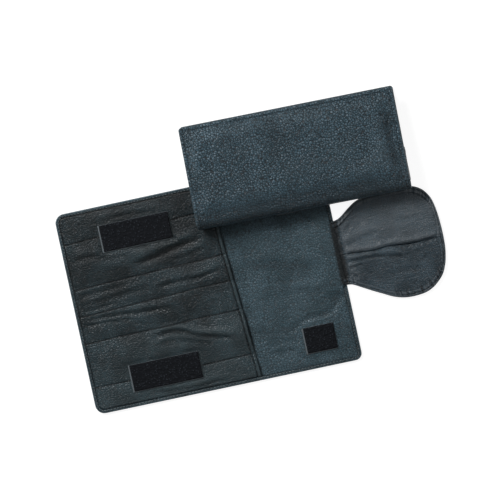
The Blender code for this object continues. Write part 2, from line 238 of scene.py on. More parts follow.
class Relief:
    """The waves, ripples and creases of one area of soft leather."""

    def __init__(self, creases: Iterable[Crease], swell: float, ripple: float, seed: float) -> None:
        """Prepare the creases.

        Args:
            creases: The named creases.
            swell: Height of the broad waves.
            ripple: Height of the fine ripples, which run along the fold.
            seed: Moves the noise, so that no two areas are alike.
        """
        self.swell = swell
        self.ripple = ripple
        self.seed = seed
        self.lines = []
        for crease in creases:
            line = curve_through(crease.points, max(2.0, crease.width))
            margin = 4.0 * crease.width
            box = (min(p.x for p in line) - margin, max(p.x for p in line) + margin,
                   min(p.y for p in line) - margin, max(p.y for p in line) + margin)
            self.lines.append((crease, [tuple(p) for p in line], box))

    def tone(self, x: float, y: float) -> float:
        """Return the painted shading at a flat place: a painted highlight on the ridges and painted shade in the
        valleys.
        """
        return min(max(0.34 * self.height(x, y), -0.8), 0.35)

    def height(self, x: float, y: float) -> float:
        """Return the height of the relief at a flat place."""
        total = self.swell * waver(x / 40.0, y / 27.0, self.seed)
        total += self.ripple * waver(x / 24.0, y / 5.0, self.seed + 9.0)
        total += 0.4 * self.ripple * waver(x / 7.0, y / 2.9, self.seed + 4.0)
        for crease, line, (low_x, high_x, low_y, high_y) in self.lines:
            if low_x < x < high_x and low_y < y < high_y:
                total += self._crease_height(crease, line, x, y)
        return total

    @staticmethod
    def _crease_height(crease: Crease, line: Line, x: float, y: float) -> float:
        """Return the height that one crease adds at a flat place.

        Args:
            crease: The crease.
            line: Its smooth line.
            x: Place along the case.
            y: Place across it.

        Returns:
            The height, which is below zero on the line and may rise beside it.
        """
        best, along, side = 1e9, 0.0, 1.0
        for i, ((ax, ay), (bx, by)) in enumerate(zip(line, line[1:])):
            dx, dy = bx - ax, by - ay
            share = min(max(((x - ax) * dx + (y - ay) * dy) / (dx * dx + dy * dy), 0.0), 1.0)
            away = math.hypot(x - ax - share * dx, y - ay - share * dy)
            if away < best:
                best, along = away, (i + share) / (len(line) - 1)
                side = 1.0 if dx * (y - ay) - dy * (x - ax) >= 0.0 else -1.0
        fade = ease(along / crease.fade) * ease((1.0 - along) / crease.fade)
        sink = -crease.depth * bell(best, crease.width)
        lip = crease.lip * bell(side * best - 1.9 * crease.width, 1.4 * crease.width)
        return fade * (sink + lip)


class Fold:
    """Turns flat places on a case into points of the row frame."""

    def __init__(self, joint_name: str, cover_node: str, axis_height: float, is_folded: bool) -> None:
        """Find the case's placement from its fold joint and the plane of a cover node.

        Args:
            joint_name: The joint of the fold.
            cover_node: A flat node that lies on the unmoved half.
            axis_height: Height of the fold's axis above the cover's underside.
            is_folded: Whether the case is shut at rest.
        """
        joint = next(j for j in frame["joints"] if j["name"] == joint_name)
        along = Vector(joint["axis"])
        if along.x < 0.0:
            along.negate()
        up = Vector()
        for face in frame["nodes"][cover_node].data.polygons:
            if face.normal.z > 0.9:
                up += face.normal * face.area
        up.normalize()
        turn = Matrix((along, up.cross(along), up)).transposed().to_4x4()
        lower = Matrix.Translation((0.0, 0.0, -axis_height * MM))
        self.placement = Matrix.Translation(joint["pos_m"]) @ turn @ lower
        self.axis_height = axis_height
        self.is_folded = is_folded
        self.band = axis_height * math.pi / 2.0

    @property
    def band_start(self) -> float:
        """Where a half begins, across the fold: past the band on a folded case."""
        return self.band if self.is_folded else 0.0

    def point(self, along: float, across: float, height: float) -> Vector:
        """Return the row frame's point for a flat place."""
        if not self.is_folded:
            return self.placement @ (Vector((along, across, height)) * MM)
        if across >= self.band:
            spot = Vector((along, across - self.band, height))
        elif across <= -self.band:
            spot = Vector((along, -across - self.band, 2.0 * self.axis_height - height))
        else:
            angle = math.pi * (self.band - across) / (2.0 * self.band)
            radius = self.axis_height - height
            spot = Vector((along, -radius * math.sin(angle), self.axis_height - radius * math.cos(angle)))
        return self.placement @ (spot * MM)

    def reach(self, node: str) -> tuple[Vector, Vector]:
        """Return a CAD node's lowest and highest corner in the case's own frame, in mm."""
        back = self.placement.inverted()
        points = [(back @ v.co) / MM for v in frame["nodes"][node].data.vertices]
        low = Vector(min(p[i] for p in points) for i in range(3))
        high = Vector(max(p[i] for p in points) for i in range(3))
        return low, high


def build_sheet(name: str, xs: Sequence[float], ys: Sequence[float], shape: Shape,
                fold: Fold) -> bpy.types.Object:
    """Make a sheet of leather from a grid, which keeps the flat place of each point.

    Args:
        name: The piece's name.
        xs: Stations along the case.
        ys: Stations across it.
        shape: Gives the spot of a station.
        fold: Places the spots.

    Returns:
        The new object, with smooth faces that look towards the pockets.
    """
    bm = bmesh.new()
    columns, rows = len(xs) - 1, len(ys) - 1
    bmesh.ops.create_grid(bm, x_segments=columns, y_segments=rows, size=1.0)
    flat = bm.verts.layers.float_vector.new("cut_place")
    # Each point keeps its wear and painted shading, which the materials read.
    wear_and_shading_layer = bm.verts.layers.float.new("wear_and_shading")
    for vert in bm.verts:
        column = round((vert.co.x + 1.0) / 2.0 * columns)
        row = round((vert.co.y + 1.0) / 2.0 * rows)
        spot = shape(xs[column], ys[row])
        vert[flat] = (spot.along, spot.across, spot.height)
        vert[wear_and_shading_layer] = spot.wear_and_shading
        vert.co = fold.point(spot.along, spot.across, spot.height)
    return finish_mesh(name, bm)


def finish_mesh(name: str, bm: bmesh.types.BMesh) -> bpy.types.Object:
    """Turn a bmesh into a smooth object at the origin."""
    for face in bm.faces:
        face.smooth = True
    mesh = bpy.data.meshes.new(name)
    bm.to_mesh(mesh)
    bm.free()
    piece = bpy.data.objects.new(name, mesh)
    bpy.context.scene.collection.objects.link(piece)
    return piece


def thicken(piece: bpy.types.Object, thickness: float, rounding: float = 0.0) -> None:
    """Give a sheet its thickness, away from the side that its faces look to.

    Args:
        piece: The sheet.
        thickness: Its thickness in mm.
        rounding: Width of the bevel on its cut edges, in mm.
    """
    wall = piece.modifiers.new("ply", "SOLIDIFY")
    wall.thickness = thickness * MM
    wall.offset = -1.0
    if rounding > 0.0:
        edge = piece.modifiers.new("pressed_edge", "BEVEL")
        edge.width = rounding * MM
        edge.segments = 2
        edge.limit_method = "ANGLE"
        edge.angle_limit = math.radians(60.0)


def lay_stitches(name: str, rows: Iterable[Sequence[Vector]], fold: Fold,
                 thread: Thread) -> bpy.types.Object:
    """Sew rows of stitches, each a short rounded length of thread.

    Args:
        name: The piece's name.
        rows: Flat lines (along, across, height) that the rows follow.
        fold: Places the stitches.
        thread: The stitches' spacing and width.

    Returns:
        One object with all the stitches.
    """
    hidden = 0.16
    bm = bmesh.new()
    for row in rows:
        line = even_points(row, thread.pitch)
        for a, b in zip(line, line[1:]):
            start = fold.point(*a.lerp(b, hidden))
            end = fold.point(*a.lerp(b, 1.0 - hidden))
            middle = a.lerp(b, 0.5)
            up = fold.point(middle.x, middle.y, middle.z + 1.0) - fold.point(*middle)
            forward = (end - start).normalized()
            sideways = up.cross(forward).normalized()
            turn = Matrix((forward, sideways, forward.cross(sideways))).transposed().to_4x4()
            radius = thread.radius * MM
            size = Matrix.Diagonal(((end - start).length / 2.0, radius, radius, 1.0))
            place = Matrix.Translation((start + end) / 2.0) @ turn @ size @ POLE_TO_X
            bmesh.ops.create_uvsphere(bm, u_segments=6, v_segments=4, radius=1.0, matrix=place)
    return finish_mesh(name, bm)


class NodeTree:
    """A thin helper for building shader nodes and their links."""

    def __init__(self, tree: bpy.types.NodeTree) -> None:
        """Keep the tree that nodes are added to."""
        self.tree = tree

    def add(self, kind: str, values: dict[str, object] | None = None, **settings: object) -> bpy.types.Node:
        """Add a node.

        Args:
            kind: The node's type, without the ShaderNode in front.
            values: Input values, or output sockets to link in, by input name.
            settings: The node's own properties.

        Returns:
            The new node.
        """
        node = self.tree.nodes.new("ShaderNode" + kind)
        for key, value in settings.items():
            setattr(node, key, value)
        for key, value in (values or {}).items():
            self.feed(node.inputs[key], value)
        return node

    def feed(self, socket: bpy.types.NodeSocket, value: object) -> None:
        """Set a socket's value, or link a socket to it."""
        if isinstance(value, bpy.types.NodeSocket):
            self.tree.links.new(value, socket)
        else:
            socket.default_value = value

    def maths(self, operation: str, a: object, b: object = 0.0, c: object = 0.0) -> bpy.types.NodeSocket:
        """Add a Math node and return its output."""
        node = self.tree.nodes.new("ShaderNodeMath")
        node.operation = operation
        for socket, value in zip(node.inputs, (a, b, c)):
            self.feed(socket, value)
        return node.outputs[0]

    def ramp(self, value: object, low: float, high: float, to_low: float = 0.0,
             to_high: float = 1.0) -> bpy.types.NodeSocket:
        """Map a range smoothly to another and return the output."""
        node = self.add("MapRange", {"Value": value, "From Min": low, "From Max": high,
                                     "To Min": to_low, "To Max": to_high}, interpolation_type="SMOOTHSTEP")
        return node.outputs["Result"]

    def blend(self, share: object, a: object, b: object) -> bpy.types.NodeSocket:
        """Mix two colours and return the output."""
        node = self.tree.nodes.new("ShaderNodeMix")
        node.data_type = "RGBA"
        for socket, value in zip((node.inputs["Factor"], node.inputs[6], node.inputs[7]), (share, a, b)):
            self.feed(socket, value)
        return node.outputs[2]


class Group(NamedTuple):
    """A shader node group, a helper on it, and its inner sockets by name."""

    group: bpy.types.NodeTree
    tree: NodeTree
    given: dict[str, bpy.types.NodeSocket]
    made: dict[str, bpy.types.NodeSocket]


def new_group(name: str, inputs: Iterable[str], outputs: Iterable[str]) -> Group:
    """Start a shader node group.

    Args:
        name: The group's name.
        inputs: Names of its inputs; one that is called Place is a vector.
        outputs: Names of its outputs.

    Returns:
        The group with its sockets.
    """
    group = bpy.data.node_groups.new(name, "ShaderNodeTree")
    for title in inputs:
        kind = "NodeSocketVector" if title == "Place" else "NodeSocketFloat"
        group.interface.new_socket(name=title, in_out="INPUT", socket_type=kind)
    for title in outputs:
        group.interface.new_socket(name=title, in_out="OUTPUT", socket_type="NodeSocketFloat")
    start = group.nodes.new("NodeGroupInput")
    end = group.nodes.new("NodeGroupOutput")
    given = {s.name: s for s in start.outputs if s.name}
    made = {s.name: s for s in end.inputs if s.name}
    return Group(group, NodeTree(group), given, made)


def plain_material(name: str) -> tuple[bpy.types.Material, NodeTree, bpy.types.Node]:
    """Start a material.

    Args:
        name: The material's name.

    Returns:
        The material, a helper on its nodes, and its shader.
    """
    made = bpy.data.materials.new(name)
    made.use_nodes = True
    return made, NodeTree(made.node_tree), made.node_tree.nodes["Principled BSDF"]


def leather_grain_group() -> bpy.types.NodeTree:
    """Build the pebbled grain of leather: its height, its pits, which the materials paint with shade, and its slow
    change of colour.
    """
    group, tree, given, made = new_group("leather_grain", ("Place", "Pebble", "Wrinkle"),
                                         ("Height", "Pits", "Tone"))
    scale = tree.maths("DIVIDE", 1.0, given["Pebble"])
    bend = tree.add("TexNoise", {"Vector": given["Place"], "Scale": 0.45, "Detail": 1.0})
    shift = tree.add("VectorMath", {0: bend.outputs["Color"], "Scale": 0.4}, operation="SCALE")
    moved = tree.add("VectorMath", {0: given["Place"], 1: shift.outputs["Vector"]}, operation="ADD")
    pattern = {"Vector": moved.outputs["Vector"], "Scale": scale}
    cells = tree.add("TexVoronoi", pattern, feature="SMOOTH_F1")
    edges = tree.add("TexVoronoi", pattern, feature="DISTANCE_TO_EDGE")
    dome = tree.maths("SUBTRACT", 1.0, cells.outputs["Distance"])
    groove = tree.ramp(edges.outputs["Distance"], 0.0, 0.16)
    fine = tree.add("TexNoise", {"Vector": given["Place"], "Scale": 2.6, "Detail": 2.0})
    long_way = tree.add("Mapping", {"Vector": given["Place"], "Scale": (0.12, 0.75, 0.4)})
    lines = tree.add("TexNoise", {"Vector": long_way.outputs["Vector"], "Scale": 1.0, "Detail": 4.0,
                                  "Distortion": 0.8})
    wrinkle = tree.maths("MULTIPLY", tree.ramp(lines.outputs["Fac"], 0.36, 0.62), given["Wrinkle"])
    height = tree.maths("MULTIPLY_ADD", dome, 0.55, tree.maths("MULTIPLY", groove, 0.45))
    height = tree.maths("MULTIPLY_ADD", fine.outputs["Fac"], 0.22, height)
    tree.feed(made["Height"], tree.maths("ADD", height, wrinkle))
    tree.feed(made["Pits"], tree.maths("SUBTRACT", 1.0, groove))
    slow = tree.add("TexNoise", {"Vector": given["Place"], "Scale": 0.035, "Detail": 3.0, "Roughness": 0.6})
    tree.feed(made["Tone"], tree.ramp(slow.outputs["Fac"], 0.36, 0.66))
    return group


@dataclass(frozen=True)
class LeatherFinish:
    """A leather's colours, gloss and grain."""

    name: str
    dark: tuple[float, float, float]
    light: tuple[float, float, float]
    # The colour of wear and of painted highlight, for places that are lighter.
    wear_and_highlight: tuple[float, float, float]
    roughness: float
    pebble: float
    relief: float
    wrinkle: float
    pits: float

    def material(self, grain: bpy.types.NodeTree) -> bpy.types.Material:
        """Build the material.

        Args:
            grain: The shared grain group.

        Returns:
            The material, patterned on the flat place of each point.
        """
        made, tree, shader = plain_material(self.name)
        place = tree.add("Attribute", attribute_name="cut_place").outputs["Vector"]
        wear_and_shading = tree.add("Attribute", attribute_name="wear_and_shading").outputs["Fac"]
        surface = made.node_tree.nodes.new("ShaderNodeGroup")
        surface.node_tree = grain
        tree.feed(surface.inputs["Place"], place)
        surface.inputs["Pebble"].default_value = self.pebble
        surface.inputs["Wrinkle"].default_value = self.wrinkle
        colour = tree.blend(surface.outputs["Tone"], (*self.dark, 1.0), (*self.light, 1.0))
        # Near-black copies of the dark colour: painted shade for the grain's pits, and painted shade for folds,
        # creases and grooves.
        painted_pit_shade_colour, painted_shade_colour = ((*(c * share for c in self.dark), 1.0) for share in (0.15, 0.12))
        # Painted shade in the grain's pits.
        shade = tree.maths("MULTIPLY", surface.outputs["Pits"], self.pits)
        colour = tree.blend(shade, colour, painted_pit_shade_colour)
        # Each point's attribute turns the colour lighter above 0, with wear and painted highlight, and into painted
        # shade below 0.
        colour = tree.blend(tree.maths("MULTIPLY", wear_and_shading, 0.8), colour, (*self.wear_and_highlight, 1.0))
        colour = tree.blend(tree.maths("MULTIPLY", wear_and_shading, -0.95), colour, painted_shade_colour)
        tree.feed(shader.inputs["Base Color"], colour)
        shader.inputs["Specular IOR Level"].default_value = 0.36
        gloss = tree.maths("MULTIPLY_ADD", surface.outputs["Pits"], 0.16, self.roughness)
        gloss = tree.maths("MULTIPLY_ADD", surface.outputs["Tone"], -0.07, gloss)
        tree.feed(shader.inputs["Roughness"], tree.maths("MULTIPLY_ADD", wear_and_shading, -0.08, gloss))
        bump = tree.add("Bump", {"Height": surface.outputs["Height"], "Distance": self.relief * MM,
                                 "Strength": 1.0})
        tree.feed(shader.inputs["Normal"], bump.outputs["Normal"])
        return made


@dataclass(frozen=True)
class PileFinish:
    """Closure tape: a dark fuzzy pile, or the woven backing at its edge."""

    name: str
    ground: tuple[float, float, float]
    fleck: tuple[float, float, float]
    grain: float
    relief: float

    def material(self) -> bpy.types.Material:
        """Build the material."""
        made, tree, shader = plain_material(self.name)
        place = tree.add("Attribute", attribute_name="cut_place").outputs["Vector"]
        hooks = tree.add("TexVoronoi", {"Vector": place, "Scale": 1.0 / self.grain})
        fuzz = tree.add("TexNoise", {"Vector": place, "Scale": 3.0 / self.grain, "Detail": 3.0})
        fleck = tree.ramp(hooks.outputs["Distance"], 0.30, 0.05)
        tree.feed(shader.inputs["Base Color"], tree.blend(fleck, (*self.ground, 1.0), (*self.fleck, 1.0)))
        tree.feed(shader.inputs["Roughness"], tree.ramp(fuzz.outputs["Fac"], 0.3, 0.7, 0.85, 1.0))
        shader.inputs["Specular IOR Level"].default_value = 0.2
        height = tree.maths("SUBTRACT", 1.0, hooks.outputs["Distance"])
        height = tree.maths("MULTIPLY_ADD", fuzz.outputs["Fac"], 0.6, height)
        bump = tree.add("Bump", {"Height": height, "Distance": self.relief * MM, "Strength": 1.0})
        tree.feed(shader.inputs["Normal"], bump.outputs["Normal"])
        return made


@dataclass(frozen=True)
class ThreadFinish:
    """Waxed sewing thread."""

    name: str
    dark: tuple[float, float, float]
    light: tuple[float, float, float]

    def material(self) -> bpy.types.Material:
        """Build the material, with the strands of its twist."""
        made, tree, shader = plain_material(self.name)
        place = tree.add("TexCoord").outputs["Object"]
        strand = tree.add("TexNoise", {"Vector": place, "Scale": 2600.0, "Detail": 1.0})
        uneven = tree.add("TexNoise", {"Vector": place, "Scale": 70.0, "Detail": 2.0})
        share = tree.ramp(uneven.outputs["Fac"], 0.35, 0.65, 0.3, 1.3)
        share = tree.maths("MULTIPLY", strand.outputs["Fac"], share)
        tree.feed(shader.inputs["Base Color"], tree.blend(share, (*self.dark, 1.0), (*self.light, 1.0)))
        tree.feed(shader.inputs["Roughness"], tree.ramp(strand.outputs["Fac"], 0.3, 0.7, 0.4, 0.6))
        bump = tree.add("Bump", {"Height": strand.outputs["Fac"], "Distance": 0.05 * MM, "Strength": 0.6})
        tree.feed(shader.inputs["Normal"], bump.outputs["Normal"])
        return made


class Wardrobe:
    """Holds one material for each finish."""

    def __init__(self) -> None:
        """Build the shared grain and the materials."""
        grain = leather_grain_group()
        self.cover = LeatherFinish(
            "pebbled_cover", dark=(0.026, 0.054, 0.072), light=(0.045, 0.084, 0.110),
            wear_and_highlight=(0.066, 0.100, 0.120), roughness=0.36, pebble=2.1, relief=1.1, wrinkle=0.0, pits=1.0,
        ).material(grain)
        self.lining = LeatherFinish(
            "lining_grain", dark=(0.026, 0.053, 0.067), light=(0.049, 0.086, 0.107),
            wear_and_highlight=(0.064, 0.094, 0.108), roughness=0.41, pebble=2.0, relief=0.65, wrinkle=0.08, pits=0.8,
        ).material(grain)
        self.pocket = LeatherFinish(
            "pocket_grain", dark=(0.004, 0.011, 0.014), light=(0.022, 0.041, 0.050),
            wear_and_highlight=(0.050, 0.074, 0.083), roughness=0.40, pebble=1.9, relief=0.60, wrinkle=0.12, pits=0.8,
        ).material(grain)
        self.flap = LeatherFinish(
            "thin_flap_grain", dark=(0.018, 0.033, 0.044), light=(0.045, 0.072, 0.092),
            wear_and_highlight=(0.095, 0.110, 0.122), roughness=0.33, pebble=1.8, relief=0.38, wrinkle=0.30, pits=0.8,
        ).material(grain)
        self.pile = PileFinish("tape_pile", ground=(0.003, 0.004, 0.006), fleck=(0.040, 0.048, 0.060),
                               grain=1.8, relief=1.0).material()
        self.backing = PileFinish("tape_backing", ground=(0.09, 0.105, 0.115), fleck=(0.22, 0.245, 0.26),
                                  grain=0.5, relief=0.15).material()
        self.seam_thread = ThreadFinish("seam_thread", dark=(0.002, 0.003, 0.004),
                                        light=(0.008, 0.011, 0.013)).material()
        # The edge thread is black and glossy; its grey, lighter than the leather, is a painted highlight.
        self.edge_thread = ThreadFinish("edge_thread", dark=(0.050, 0.062, 0.066),
                                        light=(0.20, 0.23, 0.24)).material()


class Slot(Enum):
    """The record's material slots."""

    COVER = "cover_leather"
    LINING = "lining_leather"
    POCKET = "pocket_leather"
    FLAP = "flap_leather"
    TAPE = "closure_tape"


@dataclass(frozen=True)
class HalfNames:
    """The names that belong to one half of a case."""

    half: Half
    suffix: str
    body: str
    flap_body: str


@dataclass(frozen=True)
class Edge:
    """The outline of a case as a rectangle with round corners, in flat places."""

    pocket_end: float
    flap_end: float
    far: float
    near: float
    pocket_round: float
    flap_round: float

    def drawn_in(self, inset: float) -> "Edge":
        """Return the same outline, moved inwards."""
        return Edge(self.pocket_end + inset, self.flap_end - inset, self.far - inset, self.near + inset,
                    max(self.pocket_round - inset, 0.5), max(self.flap_round - inset, 0.5))

    def rounded(self, x: float, y: float) -> tuple[float, float]:
        """Draw a point near a corner of the rectangle in towards the corner's arc."""
        radius = self.pocket_round if x < 0.0 else self.flap_round
        centre_x = self.pocket_end + radius if x < 0.0 else self.flap_end - radius
        centre_y = self.far - radius if y > 0.0 else self.near + radius
        out_x, out_y = (x - centre_x) / radius, (y - centre_y) / radius
        if out_x * (-1.0 if x < 0.0 else 1.0) <= 0.0 or out_y * (1.0 if y > 0.0 else -1.0) <= 0.0:
            return x, y
        share = max(abs(out_x), abs(out_y)) / math.hypot(out_x, out_y)
        return centre_x + out_x * share * radius, centre_y + out_y * share * radius

    def depth(self, x: float, y: float) -> float:
        """Return how far inside the outline a point lies."""
        radius = self.pocket_round if x < 0.0 else self.flap_round
        to_x = min(x - self.pocket_end, self.flap_end - x)
        to_y = min(y - self.near, self.far - y)
        if to_x < radius and to_y < radius:
            return radius - math.hypot(radius - to_x, radius - to_y)
        return min(to_x, to_y)

    def arc(self, half: Half, is_flap_end: bool) -> list[Vector]:
        """Return the points of one corner's arc, from the pocket end round to the flap end."""
        radius = self.flap_round if is_flap_end else self.pocket_round
        centre_x = self.flap_end - radius if is_flap_end else self.pocket_end + radius
        centre_y = (self.far - radius) if half is Half.FAR else (self.near + radius)
        start = 90.0 if is_flap_end else 180.0
        angles = [math.radians(start - 90.0 * i / 8) for i in range(9)]
        return [Vector((centre_x + radius * math.cos(a), centre_y + half.value * radius * math.sin(a)))
                for a in angles]

    def half_path(self, half: Half, start: float, end: float) -> list[Vector]:
        """Return the way round one half's free edges.

        Args:
            half: Which half.
            start: Place across where it starts at the pocket end.
            end: Place across where it ends at the flap end.

        Returns:
            The points of the way.
        """
        return [Vector((self.pocket_end, start)), *self.arc(half, False), *self.arc(half, True),
                Vector((self.flap_end, end))]


@dataclass(frozen=True)
class Tape:
    """A rectangle of closure tape, in flat places."""

    left: float
    right: float
    low: float
    high: float

    def closeness(self, x: float, y: float, margin: float) -> float:
        """Return 1 on the tape, falling to 0 at a margin outside it."""
        away_x = max(self.left - x, x - self.right, 0.0)
        away_y = max(self.low - y, y - self.high, 0.0)
        return 1.0 - ease(math.hypot(away_x, away_y) / margin)


# The flap's outline and its middle crease, from the case's end to the tip
FLAP_LINES: dict[Half, Line] = {
    Half.FAR: ((112.0, 36.4), (119.0, 36.4), (125.0, 37.0), (130.3, 39.3), (138.0, 45.0), (146.0, 50.0),
               (156.4, 53.0), (172.0, 54.0), (188.0, 54.0), (198.0, 53.0), (206.5, 48.5), (211.9, 41.5),
               (214.6, 34.0), (216.2, 24.0), (217.0, 12.0), (217.1, 3.0)),
    Half.NEAR: ((112.0, -22.0), (119.0, -22.0), (125.0, -22.2), (129.1, -23.2), (137.1, -27.7),
                (145.1, -32.2), (153.1, -36.4), (161.1, -40.6), (169.1, -43.3), (177.1, -44.4),
                (185.1, -44.2), (193.1, -42.7), (201.1, -38.5), (209.1, -30.7), (213.4, -22.0),
                (215.5, -14.0), (216.7, -6.0), (217.1, 3.0)),
}
FLAP_CREASE: Line = ((112.0, 4.6), (124.0, 5.2), (134.0, 4.6), (153.1, 3.2), (166.6, 4.0), (186.4, 2.2),
                     (203.0, 2.6))


@dataclass
class ScissorCase:
    """One leather case: its sizes, read from the frame, and the methods that make its pieces."""

    name: str
    fold: Fold
    looks: Wardrobe
    halves: tuple[HalfNames, HalfNames]
    seams: tuple[tuple[float, float], ...]
    lining_relief: Relief
    pocket_relief: Relief
    cover_relief: Relief
    flap_relief: Relief
    flap_lines: dict[Half, Line]
    flap_creases: dict[Half, Line]
    swing: Vector
    mouth_slant: float = 0.0
    corner_rounds: tuple[float, float] = (8.5, 6.5)
    cover_crown: float = 0.0
    flap_set_in: float = 0.0
    narrow_rise: float = 0.6
    wide_rise: float = 1.6
    outer_rise: float = 0.7
    edge: Edge = field(init=False)
    mouth: float = field(init=False)
    lining_top: float = field(init=False)
    panel_level: float = field(init=False)
    long_tapes: dict[Half, Tape] = field(init=False)
    square_tapes: dict[Half, Tape] = field(init=False)
    neck: dict[Half, float] = field(init=False)

    def __post_init__(self) -> None:
        """Read the sizes of the CAD nodes."""
        start = self.fold.band_start
        low, high = self._half_reach("cover", self.halves[0])
        _, near_high = self._half_reach("cover", self.halves[1])
        self.edge = Edge(low.x, high.x, start + high.y, -(start + near_high.y), *self.corner_rounds)
        self.mouth = self._half_reach("mouth_hem", self.halves[0])[1].x
        self.lining_top = self._half_reach("flap_root", self.halves[0])[0].z + LINING_THICK
        self.panel_level = self.lining_top + PLY_GAP + PANEL_THICK
        self.long_tapes = {n.half: self._tape("long_patch", n) for n in self.halves}
        self.square_tapes = {n.half: self._tape("square_patch", n) for n in self.halves}
        self.neck = {n.half: start + self._half_reach("flap_root", n)[1].y for n in self.halves}

    def _half_reach(self, piece: str, names: HalfNames) -> tuple[Vector, Vector]:
        """Return a node's corners in the frame of its half, where y grows away from the fold."""
        low, high = self.fold.reach(f"{self.name}_{piece}_{names.suffix}")
        if names.half is Half.NEAR:
            if self.fold.is_folded:
                low.z, high.z = 2.0 * self.fold.axis_height - high.z, 2.0 * self.fold.axis_height - low.z
            else:
                low.y, high.y = -high.y, -low.y
        return low, high

    def _tape(self, piece: str, names: HalfNames) -> Tape:
        """Return the place of a closure tape."""
        low, high = self._half_reach(piece, names)
        a, b = (names.half.value * (self.fold.band_start + y) for y in (low.y, high.y))
        return Tape(low.x, high.x, min(a, b), max(a, b))

    def spans(self) -> list[tuple[str, float, float, tuple[HalfNames, ...]]]:
        """Return the stretches across the fold that the inner leather is cut to.

        Returns:
            The name, the lowest and highest place across, and the halves, of each stretch: one
            over the whole open case, and one on each half of a folded one.
        """
        inner = self.edge.drawn_in(INNER_MARGIN)
        if not self.fold.is_folded:
            return [(self.name, inner.near, inner.far, self.halves)]
        start = self.fold.band_start
        far, near = self.halves
        return [(f"{self.name}_{far.suffix}", start + PLY_GAP / 2.0, inner.far, (far,)),
                (f"{self.name}_{near.suffix}", inner.near, -start - PLY_GAP / 2.0, (near,))]

    def settle(self, piece: bpy.types.Object, names: Sequence[HalfNames], look: bpy.types.Material,
               nodes: Iterable[str] = ()) -> None:
        """Join a finished piece to its half or halves and dress it.

        Args:
            piece: The piece.
            names: The half that it lies on, or both if it spans the fold.
            look: Its material.
            nodes: The CAD nodes that it stands for.
        """
        self.join(piece, names)
        self.dress(piece, look, nodes)

    def join(self, piece: bpy.types.Object, names: Sequence[HalfNames]) -> None:
        """Put a piece on its half; a piece on both halves has its placement baked into its mesh."""
        if len(names) == 1:
            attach(piece, names[0].body)
            return
        if self.fold.is_folded:
            margin = 1.3
            start = self.fold.placement @ Vector((0.0, 0.0, margin * MM))
            end = self.fold.placement @ Vector((0.0, 0.0, (2.0 * self.fold.axis_height - margin) * MM))
        else:
            start = self.fold.point(0.0, self.fold.band, 0.0)
            end = self.fold.point(0.0, -self.fold.band, 0.0)
        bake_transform(piece)

    def dress(self, piece: bpy.types.Object, look: bpy.types.Material,
              nodes: Iterable[str] = ()) -> None:
        """Give a piece its material, and hide the CAD nodes that it stands for."""
        piece.data.materials.append(look)
        found = list(nodes)
        if found:
            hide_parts(*found)
        LOG.info("%s: %d faces", piece.name, len(piece.data.polygons))

    def nodes(self, piece: str, names: Iterable[HalfNames]) -> list[str]:
        """Return the names of a piece's CAD nodes on some halves."""
        return [f"{self.name}_{piece}_{n.suffix}" for n in names]

    def seam_at(self, index: int, x: float) -> float:
        """Return where a sewn seam lies across the case, at a place along it."""
        start, end = self.seams[index]
        share = (x - self.edge.pocket_end) / (self.mouth - self.edge.pocket_end)
        return mix(start, end, share) + 0.5 * waver(x / 30.0, start, 2.0)

    def lines_at(self, x: float, low: float, high: float) -> list[float]:
        """Return the edges of a stretch and the seams between them, at a place along the case."""
        seams = [self.seam_at(i, x) for i, ends in enumerate(self.seams) if low < ends[0] < high]
        return [low, *sorted(seams), high]

    def seam_rows(self, low: float, high: float) -> list[float]:
        """Number the rows of a sheet so that they follow the seams.

        Args:
            low: Nearest place across.
            high: Farthest place across.

        Returns:
            Row numbers, which crowd at the lines: 1.5 is halfway from the second line to the third.
        """
        lines = self.lines_at(0.0, low, high)
        beside = (0.0, 0.4, 0.85, 1.4, 2.1)
        rows = []
        for k, (a, b) in enumerate(zip(lines, lines[1:])):
            wide = b - a
            offsets = [*beside, *steps(3.0, wide - 3.0, 1.05), *(wide - v for v in reversed(beside[1:]))]
            rows += [k + v / wide for v in offsets]
        return [*rows, len(lines) - 1.0]

    def row_place(self, row: float, x: float, low: float, high: float) -> float:
        """Return where a numbered row lies across the case."""
        lines = self.lines_at(x, low, high)
        k = min(int(row), len(lines) - 2)
        return mix(lines[k], lines[k + 1], row - k)

    def mouth_at(self, y: float) -> float:
        """Return where the pockets' mouth lies along the case, at a place across it."""
        return self.mouth - self.mouth_slant * y + 0.35 * waver(y / 22.0, 3.0, 1.0)

    def crown(self, x: float, y: float) -> float:
        """Return how far the pocket leather stands above its seams."""
        lines = sorted(self.seam_at(i, x) for i in range(len(self.seams)))
        inner = self.edge.drawn_in(ROLL_WIDTH)
        bounds = [inner.near, *lines, inner.far]
        for low, high in zip(bounds, bounds[1:]):
            if low <= y <= high:
                share = (y - low) / (high - low)
                middle = abs((low + high) / 2.0) - self.fold.band_start
                rises = ((20.0, self.narrow_rise), (60.0, self.wide_rise), (math.inf, self.outer_rise))
                rise = next(rise for limit, rise in rises if middle < limit)
                return rise * max(math.sin(math.pi * share), 0.0) ** 0.9
        return 0.0

    def seam_dip(self, x: float, y: float) -> float:
        """Return how far the leather is drawn down beside its seams."""
        away = min(abs(y - self.seam_at(i, x)) for i in range(len(self.seams)))
        pucker = 0.12 * math.sin(x * 2.0 * math.pi / SEAM_THREAD.pitch)
        return (0.7 + pucker) * bell(away, 0.5) + 0.1 * bell(away, 2.6)

    def panel_height(self, x: float, y: float) -> float:
        """Return the top of the pocket leather."""
        inner = self.edge.drawn_in(ROLL_WIDTH)
        toe = ease((x - inner.pocket_end) / 16.0)
        soft = ease(inner.depth(x, y) / 7.0)
        height = self.crown(x, y) * toe + self.pocket_relief.height(x, y) * soft
        height -= self.seam_dip(x, y) + 0.7 * (1.0 - ease(inner.depth(x, y) / 1.5))
        pressed = 0.75 + 0.2 * waver(x / 30.0, y / 20.0, 5.0)
        for tape in self.long_tapes.values():
            height = mix(height, pressed, tape.closeness(x, y, 5.0))
        return self.panel_level + max(height, -0.6)

